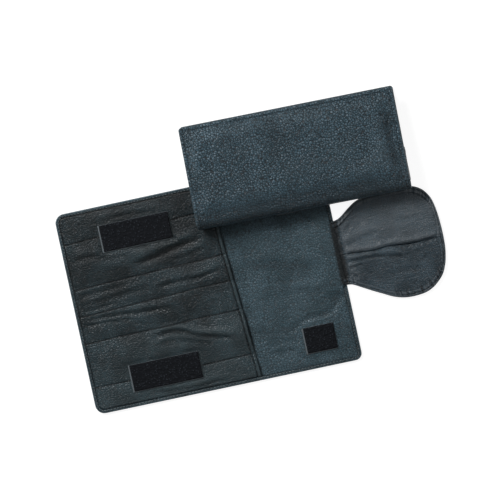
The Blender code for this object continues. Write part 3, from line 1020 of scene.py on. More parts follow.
    def lining_height(self, x: float, y: float) -> float:
        """Return the top of the inner leather."""
        inner = self.edge.drawn_in(ROLL_WIDTH)
        soft = ease(inner.depth(x, y) / 6.0) * ease((x - self.mouth_at(y) + 3.0) / 8.0)
        half = Half.FAR if y >= 0.0 else Half.NEAR
        start = self.edge.flap_end - 24.0
        along = ease((x - start) / 12.0)
        across = 1.0 - ease((abs(y) - self.neck[half] - 1.0) / 9.0)
        height = self.lining_relief.height(x, y) * soft * (1.0 - 0.55 * along * across)
        height += 1.5 * along * across
        height -= 1.45 * ease((x - self.edge.flap_end + 4.6) / 5.0) * across
        for tape in self.square_tapes.values():
            height = mix(height, 0.15, tape.closeness(x, y, 5.0))
        return self.lining_top + max(height, -0.25)

    def build_cover(self) -> None:
        """Make the outer leather in one sheet over both halves."""
        body = self.edge
        pitch = 1.3 if self.fold.is_folded else 2.2
        spine = self.fold.band

        def shape(x: float, y: float) -> Spot:
            """Return the spot of the cover's inner face."""
            x, y = body.rounded(x, y)
            depth = body.depth(x, y)
            height = COVER_THICK
            # Lighter along the edge: edge wear with a painted highlight.
            wear_and_shading = 0.9 * (1.0 - ease(depth / 1.1))
            if self.fold.is_folded:
                away = min(depth, max(abs(y) - spine, 0.0) + 1.5)
                loose = ease((-y - spine + 6.0) / 6.0)
                height -= loose * self.cover_crown * ease(away / 17.0)
                height -= 0.25 * ease(away / 10.0) * (1.0 - loose)
                height -= loose * ease(depth / 9.0) * self.cover_relief.height(x, y)
                groove = bell(depth - COVER_SEAM, 0.55)
                height += 0.6 * groove + 0.35 * (1.0 - ease(depth / 1.4))
                bend = 1.0 - ease((-y - spine) / 13.0)
                # Painted shading on the creases, and painted shade where the cover bends down into the fold.
                wear_and_shading += loose * (self.cover_relief.tone(x, y) * ease(depth / 9.0) - 0.55 * bend)
                # A painted highlight along the fold's outermost line.
                wear_and_shading += 1.2 * bell(y + 2.0, 1.8)
                # Painted shade in the stitch groove, and over the rear half and fold band, which lie in shade below
                # the front.
                wear_and_shading -= 0.7 * groove + (1.0 - loose) * 0.6
            return Spot(x, y, height, wear_and_shading)

        xs = edged_steps(body.pocket_end, body.flap_end, pitch)
        ys = edged_steps(body.near, body.far, pitch)
        piece = build_sheet(f"{self.name}_outer_leather", xs, ys, shape, self.fold)
        thicken(piece, COVER_THICK, 0.2)
        self.settle(piece, self.halves, self.looks.cover,
                    [*self.nodes("cover", self.halves), f"{self.name}_spine"])
        if self.fold.is_folded:
            self._sew_cover(shape)

    def _sew_cover(self, shape: Shape) -> None:
        """Sew round the outer face of the cover, just inside its edge."""
        for names in self.halves:
            inside = self.edge.drawn_in(COVER_SEAM)
            start = names.half.value * (self.fold.band_start + 1.0)
            row = []
            for p in even_points(inside.half_path(names.half, start, start), 1.0):
                outer = shape(p.x, p.y).height - COVER_THICK - 0.02
                row.append(Vector((p.x, p.y, outer)))
            sewn = lay_stitches(f"{self.name}_{names.suffix}_cover_stitches", [row], self.fold, COVER_THREAD)
            self.settle(sewn, (names,), self.looks.seam_thread)

    def build_lining(self) -> None:
        """Make the inner leather, whose end turns down over the flap's root."""
        inner = self.edge.drawn_in(INNER_MARGIN)
        for title, low, high, names in self.spans():
            shown_from = self.mouth - 16.0
            xs = steps(inner.pocket_end, shown_from, 6.0)[:-1]
            xs += steps(shown_from, inner.flap_end, LEATHER_PITCH)

            def shape(x: float, y: float) -> Spot:
                """Return the spot of the inner leather's top."""
                x, y = inner.rounded(x, y)
                half = Half.FAR if y >= 0.0 else Half.NEAR
                reach = 1.0 - ease((abs(y) - self.neck[half] + 3.5) / 3.0)
                over_root = ease((x - inner.flap_end + 12.0) / 12.0)
                x += (ROLL_WIDTH - 0.3 - self.flap_set_in) * reach * over_root
                height = self.lining_height(x, y)
                # Painted shading on the creases, fading out at the mouth of the pockets.
                wear_and_shading = self.lining_relief.tone(x, y) * ease((x - self.mouth_at(y)) / 8.0)
                # Painted shadow where the end turns down over the flap's root, just past the pockets' mouth, and
                # beside the turned edge.
                wear_and_shading -= 1.2 * reach * ease((x - self.edge.flap_end + 6.5) / 5.0)
                wear_and_shading -= 0.8 * (1.0 - ease((x - self.mouth_at(y)) / 2.2))
                wear_and_shading -= 0.5 * (1.0 - ease(inner.depth(x, y) / 1.2))
                return Spot(x, y, height, wear_and_shading)

            ys = steps(low, high, LEATHER_PITCH)
            piece = build_sheet(f"{title}_inner_leather", xs, ys, shape, self.fold)
            thicken(piece, LINING_THICK, 0.15)
            self.settle(piece, names, self.looks.lining, self.nodes("lining", names))

    def build_pockets(self) -> None:
        """Make the pocket leather with its sewn channels, and the binding of its mouth."""
        inner = self.edge.drawn_in(INNER_MARGIN)
        for title, low, high, names in self.spans():
            right = self.mouth - BINDING_WIDTH - BINDING_GAP
            rows = self.seam_rows(low, high)

            def shape(x: float, row: float) -> Spot:
                """Return the spot of the pocket leather's top."""
                share = (x - inner.pocket_end) / (right - inner.pocket_end)
                y = self.row_place(row, x, low, high)
                x = mix(inner.pocket_end, self.mouth_at(y) - BINDING_WIDTH - BINDING_GAP, share)
                y = self.row_place(row, x, low, high)
                x, y = inner.rounded(x, y)
                sunk = 0.6 * (1.0 - ease((1.0 - share) * (right - inner.pocket_end) / 1.3))
                away = min(abs(y - self.seam_at(i, x)) for i in range(len(self.seams)))
                # Painted shading on the creases; painted shade along the seams, in the groove at the mouth and
                # beside the turned edge; slowly darker towards the far half.
                wear_and_shading = self.pocket_relief.tone(x, y) - 0.85 * bell(away, 0.6) - sunk
                wear_and_shading -= 0.8 * (1.0 - ease(inner.depth(x, y) / 1.6)) + 0.0055 * (y + 12.0)
                return Spot(x, y, self.panel_height(x, y) - sunk, wear_and_shading)

            xs = [*steps(inner.pocket_end, right - 3.0, 1.05)[:-1], *steps(right - 3.0, right, 0.5)]
            piece = build_sheet(f"{title}_pocket_sheet", xs, rows, shape, self.fold)
            thicken(piece, PANEL_THICK, 0.15)
            self.settle(piece, names, self.looks.pocket, self.nodes("pocket_panel", names))

            def binding_shape(u: float, row: float) -> Spot:
                """Return the spot of the binding's top, by the distance u across the strip."""
                y = self.row_place(row, self.mouth, low, high)
                x = self.mouth_at(y) - BINDING_WIDTH + u
                swell = max(math.sin(math.pi * u / BINDING_WIDTH), 0.0)
                height = self.panel_height(x, y) - 0.35 + 1.05 * swell ** 0.6
                height -= 0.5 * ease((u - BINDING_WIDTH + 0.7) / 0.7)
                # A painted highlight along the top of the binding's swell.
                return Spot(x, y, height, 0.4 * swell)

            us = steps(0.0, BINDING_WIDTH, 0.3)
            strip = build_sheet(f"{title}_mouth_binding", us, rows, binding_shape, self.fold)
            thicken(strip, PANEL_THICK + 0.2, 0.2)
            self.settle(strip, names, self.looks.pocket, self.nodes("mouth_hem", names))

    def build_seams(self) -> None:
        """Sew the channels of the pockets; each row runs on past the mouth a little."""
        for title, low, high, names in self.spans():
            rows = []
            for i, (start, _) in enumerate(self.seams):
                if not low < start < high:
                    continue
                left = self.edge.pocket_end + ROLL_WIDTH + 1.5
                end = self.mouth_at(start)
                for begin, stop, top in ((left, end - 4.2, self.panel_height),
                                         (end + 0.8, end + 6.5, self.lining_height)):
                    row = []
                    for x in steps(begin, stop, 1.5):
                        y = self.seam_at(i, x)
                        covered = any(t.closeness(x, y, 0.5) > 0.4 for t in self.long_tapes.values())
                        row.append(None if covered else Vector((x, y, top(x, y) + 0.08)))
                    rows += self._uncovered(row)
            along_mouth = []
            for y in steps(low + 1.0, high - 1.0, 1.4):
                x = self.mouth_at(y) - 3.65
                along_mouth.append(Vector((x, y, self.panel_height(x, y) - 0.25)))
            rows.append(along_mouth)
            piece = lay_stitches(f"{title}_seam_stitches", rows, self.fold, SEAM_THREAD)
            self.settle(piece, names, self.looks.seam_thread)

    @staticmethod
    def _uncovered(row: Sequence[Vector | None]) -> list[list[Vector]]:
        """Split a row of places where a tape covers it.

        Args:
            row: The places, with None for one that is covered.

        Returns:
            The stretches of two places or more.
        """
        runs = [[]]
        for spot in row:
            if spot is None:
                runs.append([])
            else:
                runs[-1].append(spot)
        return [run for run in runs if len(run) > 1]

    def roll_paths(self) -> list[tuple[str, list[Vector], tuple[HalfNames, ...]]]:
        """Return the ways along which the turned edge runs, from neck to neck or on each half."""
        start = self.fold.band_start
        ends = {h: h.value * (self.neck[h] + 0.6) for h in Half}
        if self.fold.is_folded:
            return [(f"{self.name}_{n.suffix}",
                     self.edge.half_path(n.half, n.half.value * (start + 0.2), ends[n.half]), (n,))
                    for n in self.halves]
        whole = self.edge.half_path(Half.FAR, 0.0, ends[Half.FAR])[::-1]
        return [(self.name, whole + self.edge.half_path(Half.NEAR, 0.0, ends[Half.NEAR])[1:], self.halves)]

    def build_edge_roll(self) -> None:
        """Make the turned edge: a soft roll round the free edges, puckered at the corners."""
        half_width, low, high = ROLL_WIDTH / 2.0, COVER_THICK + 0.25, self.lining_top + 1.2
        for title, path, names in self.roll_paths():
            line = even_points(path, ROLL_PITCH)
            count = len(line) - 1

            def shape(u: float, v: float) -> Spot:
                """Return the spot of station u along the roll, at station v around it."""
                i = round(u)
                here = line[i]
                inward = self._inward(here, line[min(i + 1, count)] - line[max(i - 1, 0)])
                angle = 2.0 * math.pi * v / ROLL_SIDES
                bend = (line[min(i + 3, count)] - here).angle(here - line[max(i - 3, 0)], 0.0)
                pucker = min(bend * 1.5, 1.0) * math.sin(i * 1.9)
                end = ease(min(i, count - i) / 2.5 + 0.35)
                side, rise = math.cos(angle), math.sin(angle)
                across = math.copysign(abs(side) ** 0.8, side) * half_width * end
                up = math.copysign(abs(rise) ** 0.8, rise) * (high - low) / 2.0 * end
                up += (0.16 * pucker + 0.10 * waver(here.x / 9.0, here.y / 9.0, 8.0)) * (up > 0.0)
                up -= 0.28 * bell(across - 0.75, 0.45) * (up > 0.0)
                spot = here + inward * (half_width + 0.05 + across)
                # A painted highlight on the roll's outer side, and painted shade in the groove by its stitches.
                wear_and_shading = 0.5 * ease(-across / half_width) - 0.7 * bell(across - 0.75, 0.4) * (up > 0.0)
                # The whole roll darker, by more on the shut case, whose rolls lie in painted shade.
                wear_and_shading -= 0.8 if self.fold.is_folded else 0.3
                # Painted shading on the pleats of the corners.
                return Spot(spot.x, spot.y, (low + high) / 2.0 + up, wear_and_shading + 0.25 * pucker)

            piece = build_sheet(f"{title}_edge_roll", range(count + 1), range(ROLL_SIDES + 1), shape, self.fold)
            self._close_tube(piece)
            self.settle(piece, names, self.looks.lining, self.nodes("edge_hem", names))
            inset = half_width + 0.8
            row = [Vector((*(a + self._inward(a, b - a) * inset), high - 0.2)) for a, b in zip(line, line[1:])]
            stitches = lay_stitches(f"{title}_edge_stitches", [row], self.fold, EDGE_THREAD)
            self.settle(stitches, names, self.looks.edge_thread)

    def _inward(self, here: Vector, forward: Vector) -> Vector:
        """Return the direction across a way round the edge that leads into the case."""
        inward = Vector((forward.y, -forward.x)).normalized()
        if self.edge.depth(*(here + inward)) < 0.0:
            inward.negate()
        return inward

    @staticmethod
    def _close_tube(piece: bpy.types.Object) -> None:
        """Join the long edges of a rolled sheet, close its ends and turn its faces outwards."""
        bm = bmesh.new()
        bm.from_mesh(piece.data)
        bmesh.ops.remove_doubles(bm, verts=bm.verts, dist=0.002 * MM)
        bmesh.ops.holes_fill(bm, edges=[e for e in bm.edges if e.is_boundary], sides=ROLL_SIDES + 2)
        bmesh.ops.recalc_face_normals(bm, faces=bm.faces)
        for face in bm.faces:
            face.smooth = True
        bm.to_mesh(piece.data)
        bm.free()

    def build_tapes(self) -> None:
        """Make the closure tapes: a woven backing with a darker pile."""
        for names in self.halves:
            for kind, tape, top in (("long", self.long_tapes[names.half], self.panel_height),
                                    ("square", self.square_tapes[names.half], self.lining_height)):
                title = f"{self.name}_{names.suffix}_{kind}_tape"
                self._build_tape(title, tape, top, names, kind)

    def _build_tape(self, title: str, tape: Tape, top: Callable[[float, float], float], names: HalfNames,
                    kind: str) -> None:
        """Make one closure tape.

        Args:
            title: The piece's name.
            tape: Its rectangle.
            top: Height of the leather under it.
            names: The half that it is sewn to.
            kind: Whether it is the long or the square one.
        """
        def backing_shape(x: float, y: float) -> Spot:
            """Return the spot of the woven backing's top, frayed at its edge."""
            frayed = 0.12 * waver(x * 0.9, y * 0.9, 4.0)
            depth = min(x - tape.left, tape.right - x, y - tape.low, tape.high - y)
            out = 1.0 - ease(depth / 0.8)
            cx, cy = (tape.left + tape.right) / 2.0, (tape.low + tape.high) / 2.0
            return Spot(x + math.copysign(frayed * out, x - cx), y + math.copysign(frayed * out, y - cy),
                        top(x, y) + 0.62 - 0.15 * out, 0.0)

        backing = build_sheet(f"{title}_backing", steps(tape.left, tape.right, 0.9), steps(tape.low, tape.high, 0.9),
                              backing_shape, self.fold)
        thicken(backing, TAPE_BACKING_THICK, 0.1)
        self.settle(backing, (names,), self.looks.backing, self.nodes(f"{kind}_patch", (names,)))
        pile_area = Tape(tape.left + 1.2, tape.right - 0.15, tape.low + 0.8, tape.high - 0.12)

        def pile_shape(x: float, y: float) -> Spot:
            """Return the spot of the pile's top."""
            depth = min(x - pile_area.left, pile_area.right - x, y - pile_area.low, pile_area.high - y)
            full = ease(depth / 0.7 + 0.25)
            fuzz = 0.28 * waver(x * 1.7, y * 1.7, 6.0)
            fuzz += 0.15 * waver(x / 6.0, y / 6.0, 2.0)
            return Spot(x, y, top(x, y) + 0.68 + (1.25 + fuzz) * full)

        pile = build_sheet(f"{title}_pile", steps(pile_area.left, pile_area.right, 0.6),
                           steps(pile_area.low, pile_area.high, 0.6), pile_shape, self.fold)
        thicken(pile, 0.5)
        self.settle(pile, (names,), self.looks.pile)

    def flap_surface(self, x: float, y: float) -> float:
        """Return the height of the flap's inner ply, which dips where it leaves the case."""
        start = self.edge.flap_end
        out = ease((x - start - 1.5) / 7.0)
        under = 1.0 - ease((x - start + 3.0) / 4.0)
        level = mix(0.95, 2.35, out)
        level = mix(level, 1.35, under)
        return level + self.flap_relief.height(x, y) * ease((x - start - 2.0) / 9.0)

    def build_flap(self) -> None:
        """Make each half of the flap: an outer ply, turned over at its edge, that holds an inner one."""
        for names in self.halves:
            rim = curve_through(self.flap_lines[names.half], RIM_PITCH)
            spine = curve_through(self.flap_creases[names.half], 0.5)
            start_x, tip_x = rim[0].x, max(p.x for p in rim)
            last_x = spine[-1].x
            count = len(rim) - 1
            roots = []
            for point in rim:
                share = (point.x - start_x) / (tip_x - start_x)
                wanted = mix(start_x, last_x, share)
                root = min(spine, key=lambda p: abs(p.x - wanted))
                apart = PLY_GAP if self.fold.is_folded else 0.06
                roots.append(root + Vector((0.0, names.half.value * apart)))
            hem = [FLAP_HEM * (1.0 - i / HEM_ROWS) for i in range(HEM_ROWS)]

            def at(i: int, depth: float, share: float) -> Vector:
                """Return a flat place on the line from the rim to the crease."""
                line = roots[i] - rim[i]
                length = line.length
                return rim[i] + line * (min(depth, length * 0.8) / length if share < 0.0 else share)

            def gather(i: int, depth: float) -> float:
                """Return the pleats of the turned edge, where the rim is round."""
                a, b, c = rim[max(i - 9, 0)], rim[i], rim[min(i + 9, count)]
                bend = (c - b).angle(b - a, 0.0) if 0 < i < count else 0.0
                strength = 0.12 + ease((bend - 0.05) / 0.14)
                phase = i * RIM_PITCH / 4.6 + 1.6 * waver(i / 11.0, 1.0, 3.0)
                pleat = round(phase) * 3.3
                away = abs(phase - round(phase) + 0.05 * depth * waver(pleat, 5.0, 1.0))
                fold = 0.3 - (1.0 + 0.8 * waver(1.0, 5.0, pleat)) * bell(away, 0.17)
                return strength * fold * 0.6 * ease(depth / 2.6 + 0.1) * (1.0 - ease((depth - 5.0) / 4.0))

            def outer_shape(u: float, v: float) -> Spot:
                """Return the spot of the outer ply: its turned edge, the turn, then its main part."""
                i, j = round(u), round(v)
                if j < HEM_ROWS:
                    depth = hem[j]
                    flat = at(i, depth, -1.0)
                    height = self.flap_surface(flat.x, flat.y) + 1.05 + gather(i, depth)
                    height -= 0.6 * bell(depth - 2.4, 0.55) + 0.45 * ease((depth - 5.4) / 0.8)
                    height -= 0.3 * ease((1.6 - depth) / 1.6)
                    # Painted shading on the pleats, and a painted highlight over the whole turned edge.
                    wear_and_shading = self._flap_wear_and_shading(flat) + 1.5 * gather(i, depth) + 0.3
                    # Painted shade in the stitch groove and at the turned edge's inner step.
                    wear_and_shading -= 0.8 * bell(depth - 2.4, 0.5) + 0.8 * ease((depth - 5.3) / 0.7)
                    return Spot(flat.x, flat.y, height, wear_and_shading)
                if j < HEM_ROWS + TURN_ROWS:
                    angle = math.pi * (j - HEM_ROWS) / (TURN_ROWS - 1)
                    flat = at(i, 0.45 * (1.0 - math.sin(angle)), -1.0)
                    base = self.flap_surface(flat.x, flat.y)
                    # A painted highlight round the turn of the edge.
                    return Spot(flat.x, flat.y, base - 0.15 + 0.78 * math.cos(angle), 0.6)
                share = (j - HEM_ROWS - TURN_ROWS + 1) / PLY_ROWS
                flat = at(i, 0.0, share)
                if not self.fold.is_folded:
                    flat.y -= 0.6 * share ** 6
                return Spot(flat.x, flat.y, self.flap_surface(flat.x, flat.y) - 0.95)

            def inner_shape(u: float, v: float) -> Spot:
                """Return the spot of the inner ply's top."""
                i = round(u)
                line = roots[i] - rim[i]
                share = mix(min(1.0 / line.length, 0.7), 1.0, v / PLY_ROWS)
                flat = at(i, 0.0, share)
                pleat = gather(i, share * line.length)
                height = self.flap_surface(flat.x, flat.y) + 0.8 * pleat
                # Painted shading on the pleats.
                return Spot(flat.x, flat.y, height, self._flap_wear_and_shading(flat) + 1.2 * pleat)

            body = (names.body, names.flap_body) if names.flap_body else (names.body,)
            title = f"{self.name}_{names.suffix}_flap"
            place = self.flap_place
            rows = HEM_ROWS + TURN_ROWS + PLY_ROWS
            outer = build_sheet(f"{title}_outer_ply", list(range(count + 1)), list(range(rows)),
                                lambda u, v: place(outer_shape(u, v)), self.fold)
            inner = build_sheet(f"{title}_inner_ply", list(range(count + 1)), list(range(PLY_ROWS + 1)),
                                lambda u, v: place(inner_shape(u, v)), self.fold)
            self._face_in(outer, count, HEM_ROWS // 2)
            self._face_in(inner, count, 2)
            thicken(outer, FLAP_OUTER_THICK)
            thicken(inner, FLAP_INNER_THICK)
            stitch_rows = []
            for depth, lift in ((HEM_SEAM, 0.62), (SECOND_HEM_SEAM, 0.85)):
                row = []
                for i in range(6, count + 1):
                    flat = at(i, depth, -1.0)
                    if flat.x > self.edge.flap_end + 3.0:
                        height = self.flap_surface(flat.x, flat.y) + lift + gather(i, depth)
                        row.append(Vector(place(Spot(flat.x, flat.y, height))[:3]))
                stitch_rows.append(row)
            sewn = lay_stitches(f"{title}_stitches", stitch_rows, self.fold, FLAP_THREAD)
            for piece, look, slot, nodes in (
                (outer, self.looks.flap, Slot.FLAP,
                 [*self.nodes("flap", (names,)), *self.nodes("flap_root", (names,))]),
                (inner, self.looks.flap, Slot.LINING, self.nodes("flap_lining", (names,))),
                (sewn, self.looks.seam_thread, Slot.FLAP, []),
            ):
                if len(body) == 2:
                    edge = self.edge.flap_end
                    self.fold.point(edge - 1.5, 0.0, 0.0)
                    self.fold.point(edge + 6.0, 0.0, 0.0)
                    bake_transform(piece)
                else:
                    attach(piece, body[0])
                self.dress(piece, look, nodes)

    def _flap_wear_and_shading(self, flat: Vector) -> float:
        """Return the flap's wear and painted shading: a random painted sheen, a patch of wear, painted shadow at its
        root, its far half painted lighter and its near half darker, and painted shading on its creases.
        """
        # Painted sheen in random patches.
        shine = 0.3 * max(0.0, waver(flat.x / 9.0, flat.y / 9.0, 12.0))
        # A patch of real wear near the root.
        from_root = (flat.x - self.edge.flap_end - 9.0) / 9.0
        wear_and_highlight = 0.45 * math.exp(-from_root * from_root - ((flat.y + 12.0) / 13.0) ** 2)
        # Painted shadow at the root, under the case's edge.
        dark = 1.2 * (1.0 - ease((flat.x - self.edge.flap_end - 1.5) / 4.0))
        # Painted light: the far half lighter and the near half darker.
        side = mix(-0.16, 0.36, ease((flat.y + 4.0) / 14.0))
        return shine + wear_and_highlight - dark + side + self.flap_relief.tone(flat.x, flat.y)

    def flap_place(self, spot: Spot) -> Spot:
        """Fold a place of the flap in, on a case that is shut."""
        if not self.fold.is_folded:
            return spot
        hinge = self.edge.flap_end + self.swing.x - self.flap_set_in
        angle = math.pi * ease((spot.along - hinge + 3.8) / 7.5)
        out, up = spot.along - hinge, spot.height - self.swing.y
        return Spot(hinge + out * math.cos(angle) - up * math.sin(angle), spot.across,
                    self.swing.y + out * math.sin(angle) + up * math.cos(angle), spot.wear_and_shading)

    def _face_in(self, piece: bpy.types.Object, columns: int, row: int) -> None:
        """Turn a flap ply's faces so that one near its root looks towards the pockets."""
        face = piece.data.polygons[row * columns + 2]
        flat = piece.data.attributes["cut_place"].data[face.vertices[0]].vector
        up = self.fold.point(flat.x, flat.y, flat.z + 1.0) - self.fold.point(*flat)
        if face.normal.dot(up) < 0.0:
            piece.data.flip_normals()

    def build(self) -> None:
        """Make all the pieces of the case."""
        self.build_cover()
        self.build_lining()
        self.build_pockets()
        self.build_seams()
        self.build_edge_roll()
        self.build_tapes()
        self.build_flap()


class Studio:
    """The pale floor, the soft lights and the camera above the cases."""

    photo_side = 500.0
    scale = 0.9
    centre = (44.1, 26.9)
    up = Vector((0.213, 0.977, 0.0))
    tilt = (math.radians(5.0), math.radians(2.0))
    distance = 4000.0
    sensor = 36.0

    def build(self) -> None:
        """Set up the floor, the lights, the world and the camera."""
        self._floor()
        self._lights()
        self._world()
        self._camera()

    def _floor(self) -> None:
        """Lay a pale floor that keeps the cases' shadow."""
        bm = bmesh.new()
        bmesh.ops.create_grid(bm, x_segments=1, y_segments=1, size=2.5)
        bmesh.ops.translate(bm, verts=bm.verts, vec=(0.0, 0.0, -0.3 * MM))
        floor = finish_mesh("floor", bm)
        made, tree, shader = plain_material("pale_floor")
        shader.inputs["Base Color"].default_value = (0.82, 0.82, 0.82, 1.0)
        shader.inputs["Roughness"].default_value = 0.9
        path = tree.add("LightPath")
        seen = tree.maths("MAXIMUM", path.outputs["Is Camera Ray"], path.outputs["Is Glossy Ray"])
        seen = tree.maths("MAXIMUM", seen, path.outputs["Is Transmission Ray"])
        white = tree.add("Emission", {"Color": (1.0, 1.0, 1.0, 1.0), "Strength": 1.25})
        share = tree.maths("MULTIPLY", seen, 0.7)
        both = tree.add("MixShader", {0: share, 1: shader.outputs["BSDF"], 2: white.outputs["Emission"]})
        output = made.node_tree.nodes["Material Output"]
        tree.feed(output.inputs["Surface"], both.outputs["Shader"])
        floor.data.materials.append(made)

    def _lights(self) -> None:
        """Hang a large soft key light beyond the cases, and a weaker fill."""
        for name, place, side, power in (
            ("key_light", (-0.80, 1.20, 1.25), 0.7, 42.0),
            ("fill_light", (1.3, 0.3, 1.3), 1.0, 7.0),
        ):
            lamp = bpy.data.lights.new(name, "AREA")
            lamp.shape = "SQUARE"
            lamp.size = side
            lamp.energy = power
            holder = bpy.data.objects.new(name, lamp)
            holder.location = place
            aim = Vector((0.05, 0.03, 0.0)) - Vector(place)
            holder.rotation_euler = aim.to_track_quat("-Z", "Y").to_euler()
            bpy.context.scene.collection.objects.link(holder)

    def _world(self) -> None:
        """Give the room a pale light of its own."""
        world = bpy.data.worlds.new("soft_room")
        bpy.context.scene.world = world
        world.use_nodes = True
        background = world.node_tree.nodes["Background"]
        background.inputs["Color"].default_value = (1.0, 1.0, 1.0, 1.0)
        background.inputs["Strength"].default_value = 0.2

    def _camera(self) -> None:
        """Hang the camera above the middle of the photographed area."""
        data = bpy.data.cameras.new("camera")
        data.sensor_width = self.sensor
        data.lens = self.sensor * self.distance / (self.photo_side * self.scale)
        camera = bpy.data.objects.new("camera", data)
        back = Vector((math.sin(self.tilt[0]), math.sin(self.tilt[1]), 1.0)).normalized()
        right = self.up.cross(back).normalized()
        turn = Matrix((right, back.cross(right), back)).transposed().to_4x4()
        aim = Vector((*self.centre, 0.0)) * MM
        camera.matrix_world = Matrix.Translation(aim + back * self.distance * MM) @ turn
        bpy.context.scene.collection.objects.link(camera)
        bpy.context.scene.camera = camera


def open_case(looks: Wardrobe) -> ScissorCase:
    """Describe the case that lies open, with the creases that its leather shows."""
    joint = next(j for j in frame["joints"] if j["name"] == "open_case_fold")
    fold = Fold("open_case_fold", "open_cover_far", joint["pos_m"][2] / MM, False)
    pocket = Relief((
        Crease(((-88.0, 79.5), (-66.0, 81.5), (-46.0, 80.0), (-24.0, 78.0)), 0.7, 2.4, 0.5),
        Crease(((-66.0, 35.0), (-47.4, 37.6), (-25.8, 41.9), (-6.9, 45.5), (8.0, 48.5)), 1.8, 3.2, 1.0),
        Crease(((-48.0, 11.3), (-27.1, 12.8), (-7.7, 12.1), (5.7, 14.4), (20.0, 16.3)), 1.1, 2.2, 0.7),
        Crease(((-121.0, 17.0), (-96.1, 17.9), (-69.5, 20.1)), 0.9, 3.0, 0.3),
        Crease(((-121.0, 9.0), (-98.0, 9.5), (-70.0, 12.0), (-45.0, 13.0)), 0.7, 2.6, 0.3),
        Crease(((-121.0, 4.0), (-104.0, 4.4), (-80.0, 5.8)), 0.6, 1.6, 0.2),
        Crease(((-121.0, -5.5), (-85.5, -5.6), (-57.5, -7.6), (-30.0, -9.0)), 1.2, 2.2, 0.5),
        Crease(((-121.0, -9.5), (-96.0, -9.8), (-70.0, -12.0)), 0.8, 1.5, 0.5),
        Crease(((-64.0, -34.0), (-52.1, -31.2), (-39.1, -30.6), (-29.3, -33.2), (-18.9, -38.4),
                (-0.5, -43.2), (20.0, -48.5)),
               1.6, 2.4, 1.1),
        Crease(((-60.0, -41.0), (-40.0, -38.5), (-22.0, -43.0), (-2.0, -50.0)), 0.7, 2.6, 0.5),
        Crease(((-77.0, -79.5), (-48.2, -83.0), (-22.4, -83.4), (6.0, -82.0)), 0.9, 1.8, 0.4),
        Crease(((-118.0, 50.5), (-98.1, 50.6), (-82.8, 47.1), (-60.0, 45.5)), 0.8, 3.0, 0.5),
        Crease(((-30.0, 33.0), (-10.0, 34.5), (8.0, 38.0)), 0.6, 1.8, 0.4),
    ), 0.85, 0.16, 3.1)
    lining = Relief((
        Crease(((80.6, 55.1), (93.2, 51.1), (101.0, 44.0), (107.6, 37.2)), 0.8, 2.6, 0.5),
        Crease(((29.9, 12.5), (40.4, 11.6), (60.1, 10.0), (81.6, 4.7), (99.5, 0.1)), 0.8, 3.6, 0.5),
        Crease(((64.2, -20.3), (80.7, -18.6), (94.7, -21.7), (105.9, -20.0)), 0.5, 3.0, 0.3),
        Crease(((118.0, -24.5), (111.3, -32.0), (103.9, -41.1), (90.0, -43.8), (77.6, -45.2),
                (67.0, -50.0), (53.7, -50.8),
                 (36.9, -48.9), (31.0, -48.6)), 1.1, 2.6, 0.35, 0.12),
        Crease(((40.2, -68.8), (53.5, -69.1), (65.3, -70.2), (72.5, -77.5), (83.2, -78.8)), 0.7, 2.2, 0.5),
        Crease(((32.0, -56.0), (44.0, -55.0), (58.0, -58.0)), 0.5, 2.4, 0.4),
    ), 0.7, 0.12, 7.7)
    flap = Relief((
        Crease(((124.0, 4.6), (134.0, 4.4), (153.1, 3.0), (166.6, 3.9), (186.4, 2.0), (200.0, 2.2),
                (214.0, 3.0)), 1.0, 1.9,
               1.15, 0.08),
        Crease(((120.0, -1.2), (134.0, -2.2), (153.2, -2.6), (171.0, -5.6),
                (182.0, -10.5)), 0.75, 2.0, 0.7, 0.15),
        Crease(((119.0, -5.8), (129.2, -7.4), (142.0, -7.0)), 0.6, 1.3, 0.5, 0.2),
        Crease(((119.0, -11.0), (126.0, -12.6), (136.0, -17.5)), 0.6, 1.5, 0.5, 0.2),
        Crease(((119.0, 13.0), (131.0, 13.8), (150.0, 17.5), (165.0, 18.5)), 0.55, 2.4, 0.4),
        Crease(((119.0, 22.0), (129.0, 25.0), (140.0, 31.5)), 0.5, 1.8, 0.4),
        Crease(((172.0, 28.0), (186.0, 24.0), (199.0, 25.0)), 0.45, 2.6, 0.35),
        Crease(((158.0, -24.0), (175.0, -20.0), (196.0, -22.0)), 0.5, 2.8, 0.4),
    ), 0.5, 0.28, 12.3)
    return ScissorCase(
        name="open", fold=fold, looks=looks,
        halves=(HalfNames(Half.FAR, "far", "open_far_half", "open_flap_far_half"),
                HalfNames(Half.NEAR, "near", "open_near_half", "open_flap_near_half")),
        seams=((65.6, 69.5), (23.5, 28.1), (-1.2, 4.1), (-25.5, -23.5), (-66.0, -65.2)),
        lining_relief=lining, pocket_relief=pocket, cover_relief=Relief((), 0.3, 0.1, 1.0), flap_relief=flap,
        flap_lines=FLAP_LINES, flap_creases={half: FLAP_CREASE for half in Half}, mouth_slant=0.068,
        swing=flap_swing(),
    )


def flap_swing() -> Vector:
    """Return how far beyond the case's end, and how high, the axis of its flap lies."""
    joint = next(j for j in frame["joints"] if j["name"] == "flap_far_swing")
    return Vector((joint["pos_m"][0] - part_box("open_cover_far")[1].x, joint["pos_m"][2])) / MM


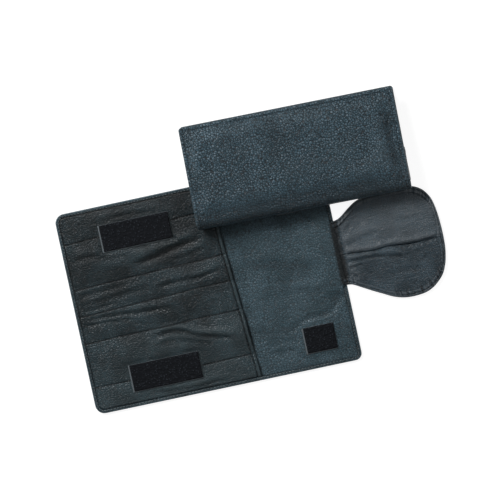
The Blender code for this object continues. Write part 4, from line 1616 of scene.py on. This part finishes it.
def closed_case(looks: Wardrobe, axis_height: float) -> ScissorCase:
    """Describe the case that is folded shut, whose cover shows.

    Args:
        looks: The materials.
        axis_height: Height of a fold's axis above the cover's underside, as on the open case.

    Returns:
        The case, ready to build.
    """
    fold = Fold("closed_case_open", "closed_cover_rear", axis_height, True)
    start = fold.band_start
    swing = flap_swing()
    end = fold.reach("closed_cover_rear")[1].x
    open_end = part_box("open_cover_far")[1].x / MM
    set_in = 4.6
    hinge = end + swing.x - set_in
    shorter = (2.0 * hinge - end - fold.reach("closed_flap_rear")[0].x) / (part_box("open_flap_far")[1].x / MM - open_end)

    def shortened(half: Half, node: str) -> Line:
        """Return the open flap's outline at the size of the shut one."""
        narrower = fold.reach(node)[1].y / max(abs(y) for _, y in FLAP_LINES[half])
        return tuple((end + (x - open_end) * (shorter if x > open_end else 1.0),
                      half.value * (start + max(half.value * y, PLY_GAP) * narrower)) for x, y in FLAP_LINES[half])

    cover = Relief((
        Crease(((-77.0, -start - 68.0), (-78.5, -start - 52.0), (-77.0, -start - 34.0)), 0.9, 6.5, 0.2),
        Crease(((-9.5, -start - 80.0), (-12.0, -start - 62.0), (-15.0, -start - 38.0)), 0.7, 7.5, 0.2),
        Crease(((84.0, -start - 74.0), (87.5, -start - 50.0), (88.5, -start - 22.0),
                (86.0, -start - 4.0)), 1.5, 5.5, 0.4, 0.3),
        Crease(((40.0, -start - 20.0), (62.0, -start - 30.0), (74.0, -start - 44.0)), 0.5, 6.0, 0.2),
    ), 0.75, 0.08, 21.0)
    quiet = Relief((), 0.35, 0.2, 31.0)
    last = end + (FLAP_CREASE[-1][0] - open_end) * shorter
    return ScissorCase(
        name="closed", fold=fold, looks=looks,
        halves=(HalfNames(Half.FAR, "rear", "closed_rear_half", ""),
                HalfNames(Half.NEAR, "front", "closed_front_half", "")),
        seams=((start + 24.0, start + 24.5), (start + 50.5, start + 50.5), (-start - 24.0, -start - 24.5),
               (-start - 50.5, -start - 50.5)),
        lining_relief=quiet, pocket_relief=quiet, cover_relief=cover, flap_relief=Relief((), 0.25, 0.1, 41.0),
        flap_lines={Half.FAR: shortened(Half.FAR, "closed_flap_rear"),
                    Half.NEAR: shortened(Half.NEAR, "closed_flap_front")},
        flap_creases={half: ((end - 11.0, half.value * start), (last, half.value * start)) for half in Half},
        swing=swing, corner_rounds=(2.4, 2.4), cover_crown=3.0, flap_set_in=set_in,
    )


def main() -> None:
    """Build the studio and both cases."""
    logging.basicConfig(level=logging.INFO, format="%(name)s %(message)s")
    bpy.context.scene.view_settings.view_transform = "Standard"
    looks = Wardrobe()
    Studio().build()
    opened = open_case(looks)
    opened.build()
    shut = closed_case(looks, opened.fold.axis_height)
    shut.build()


if __name__ == "__main__":
    main()
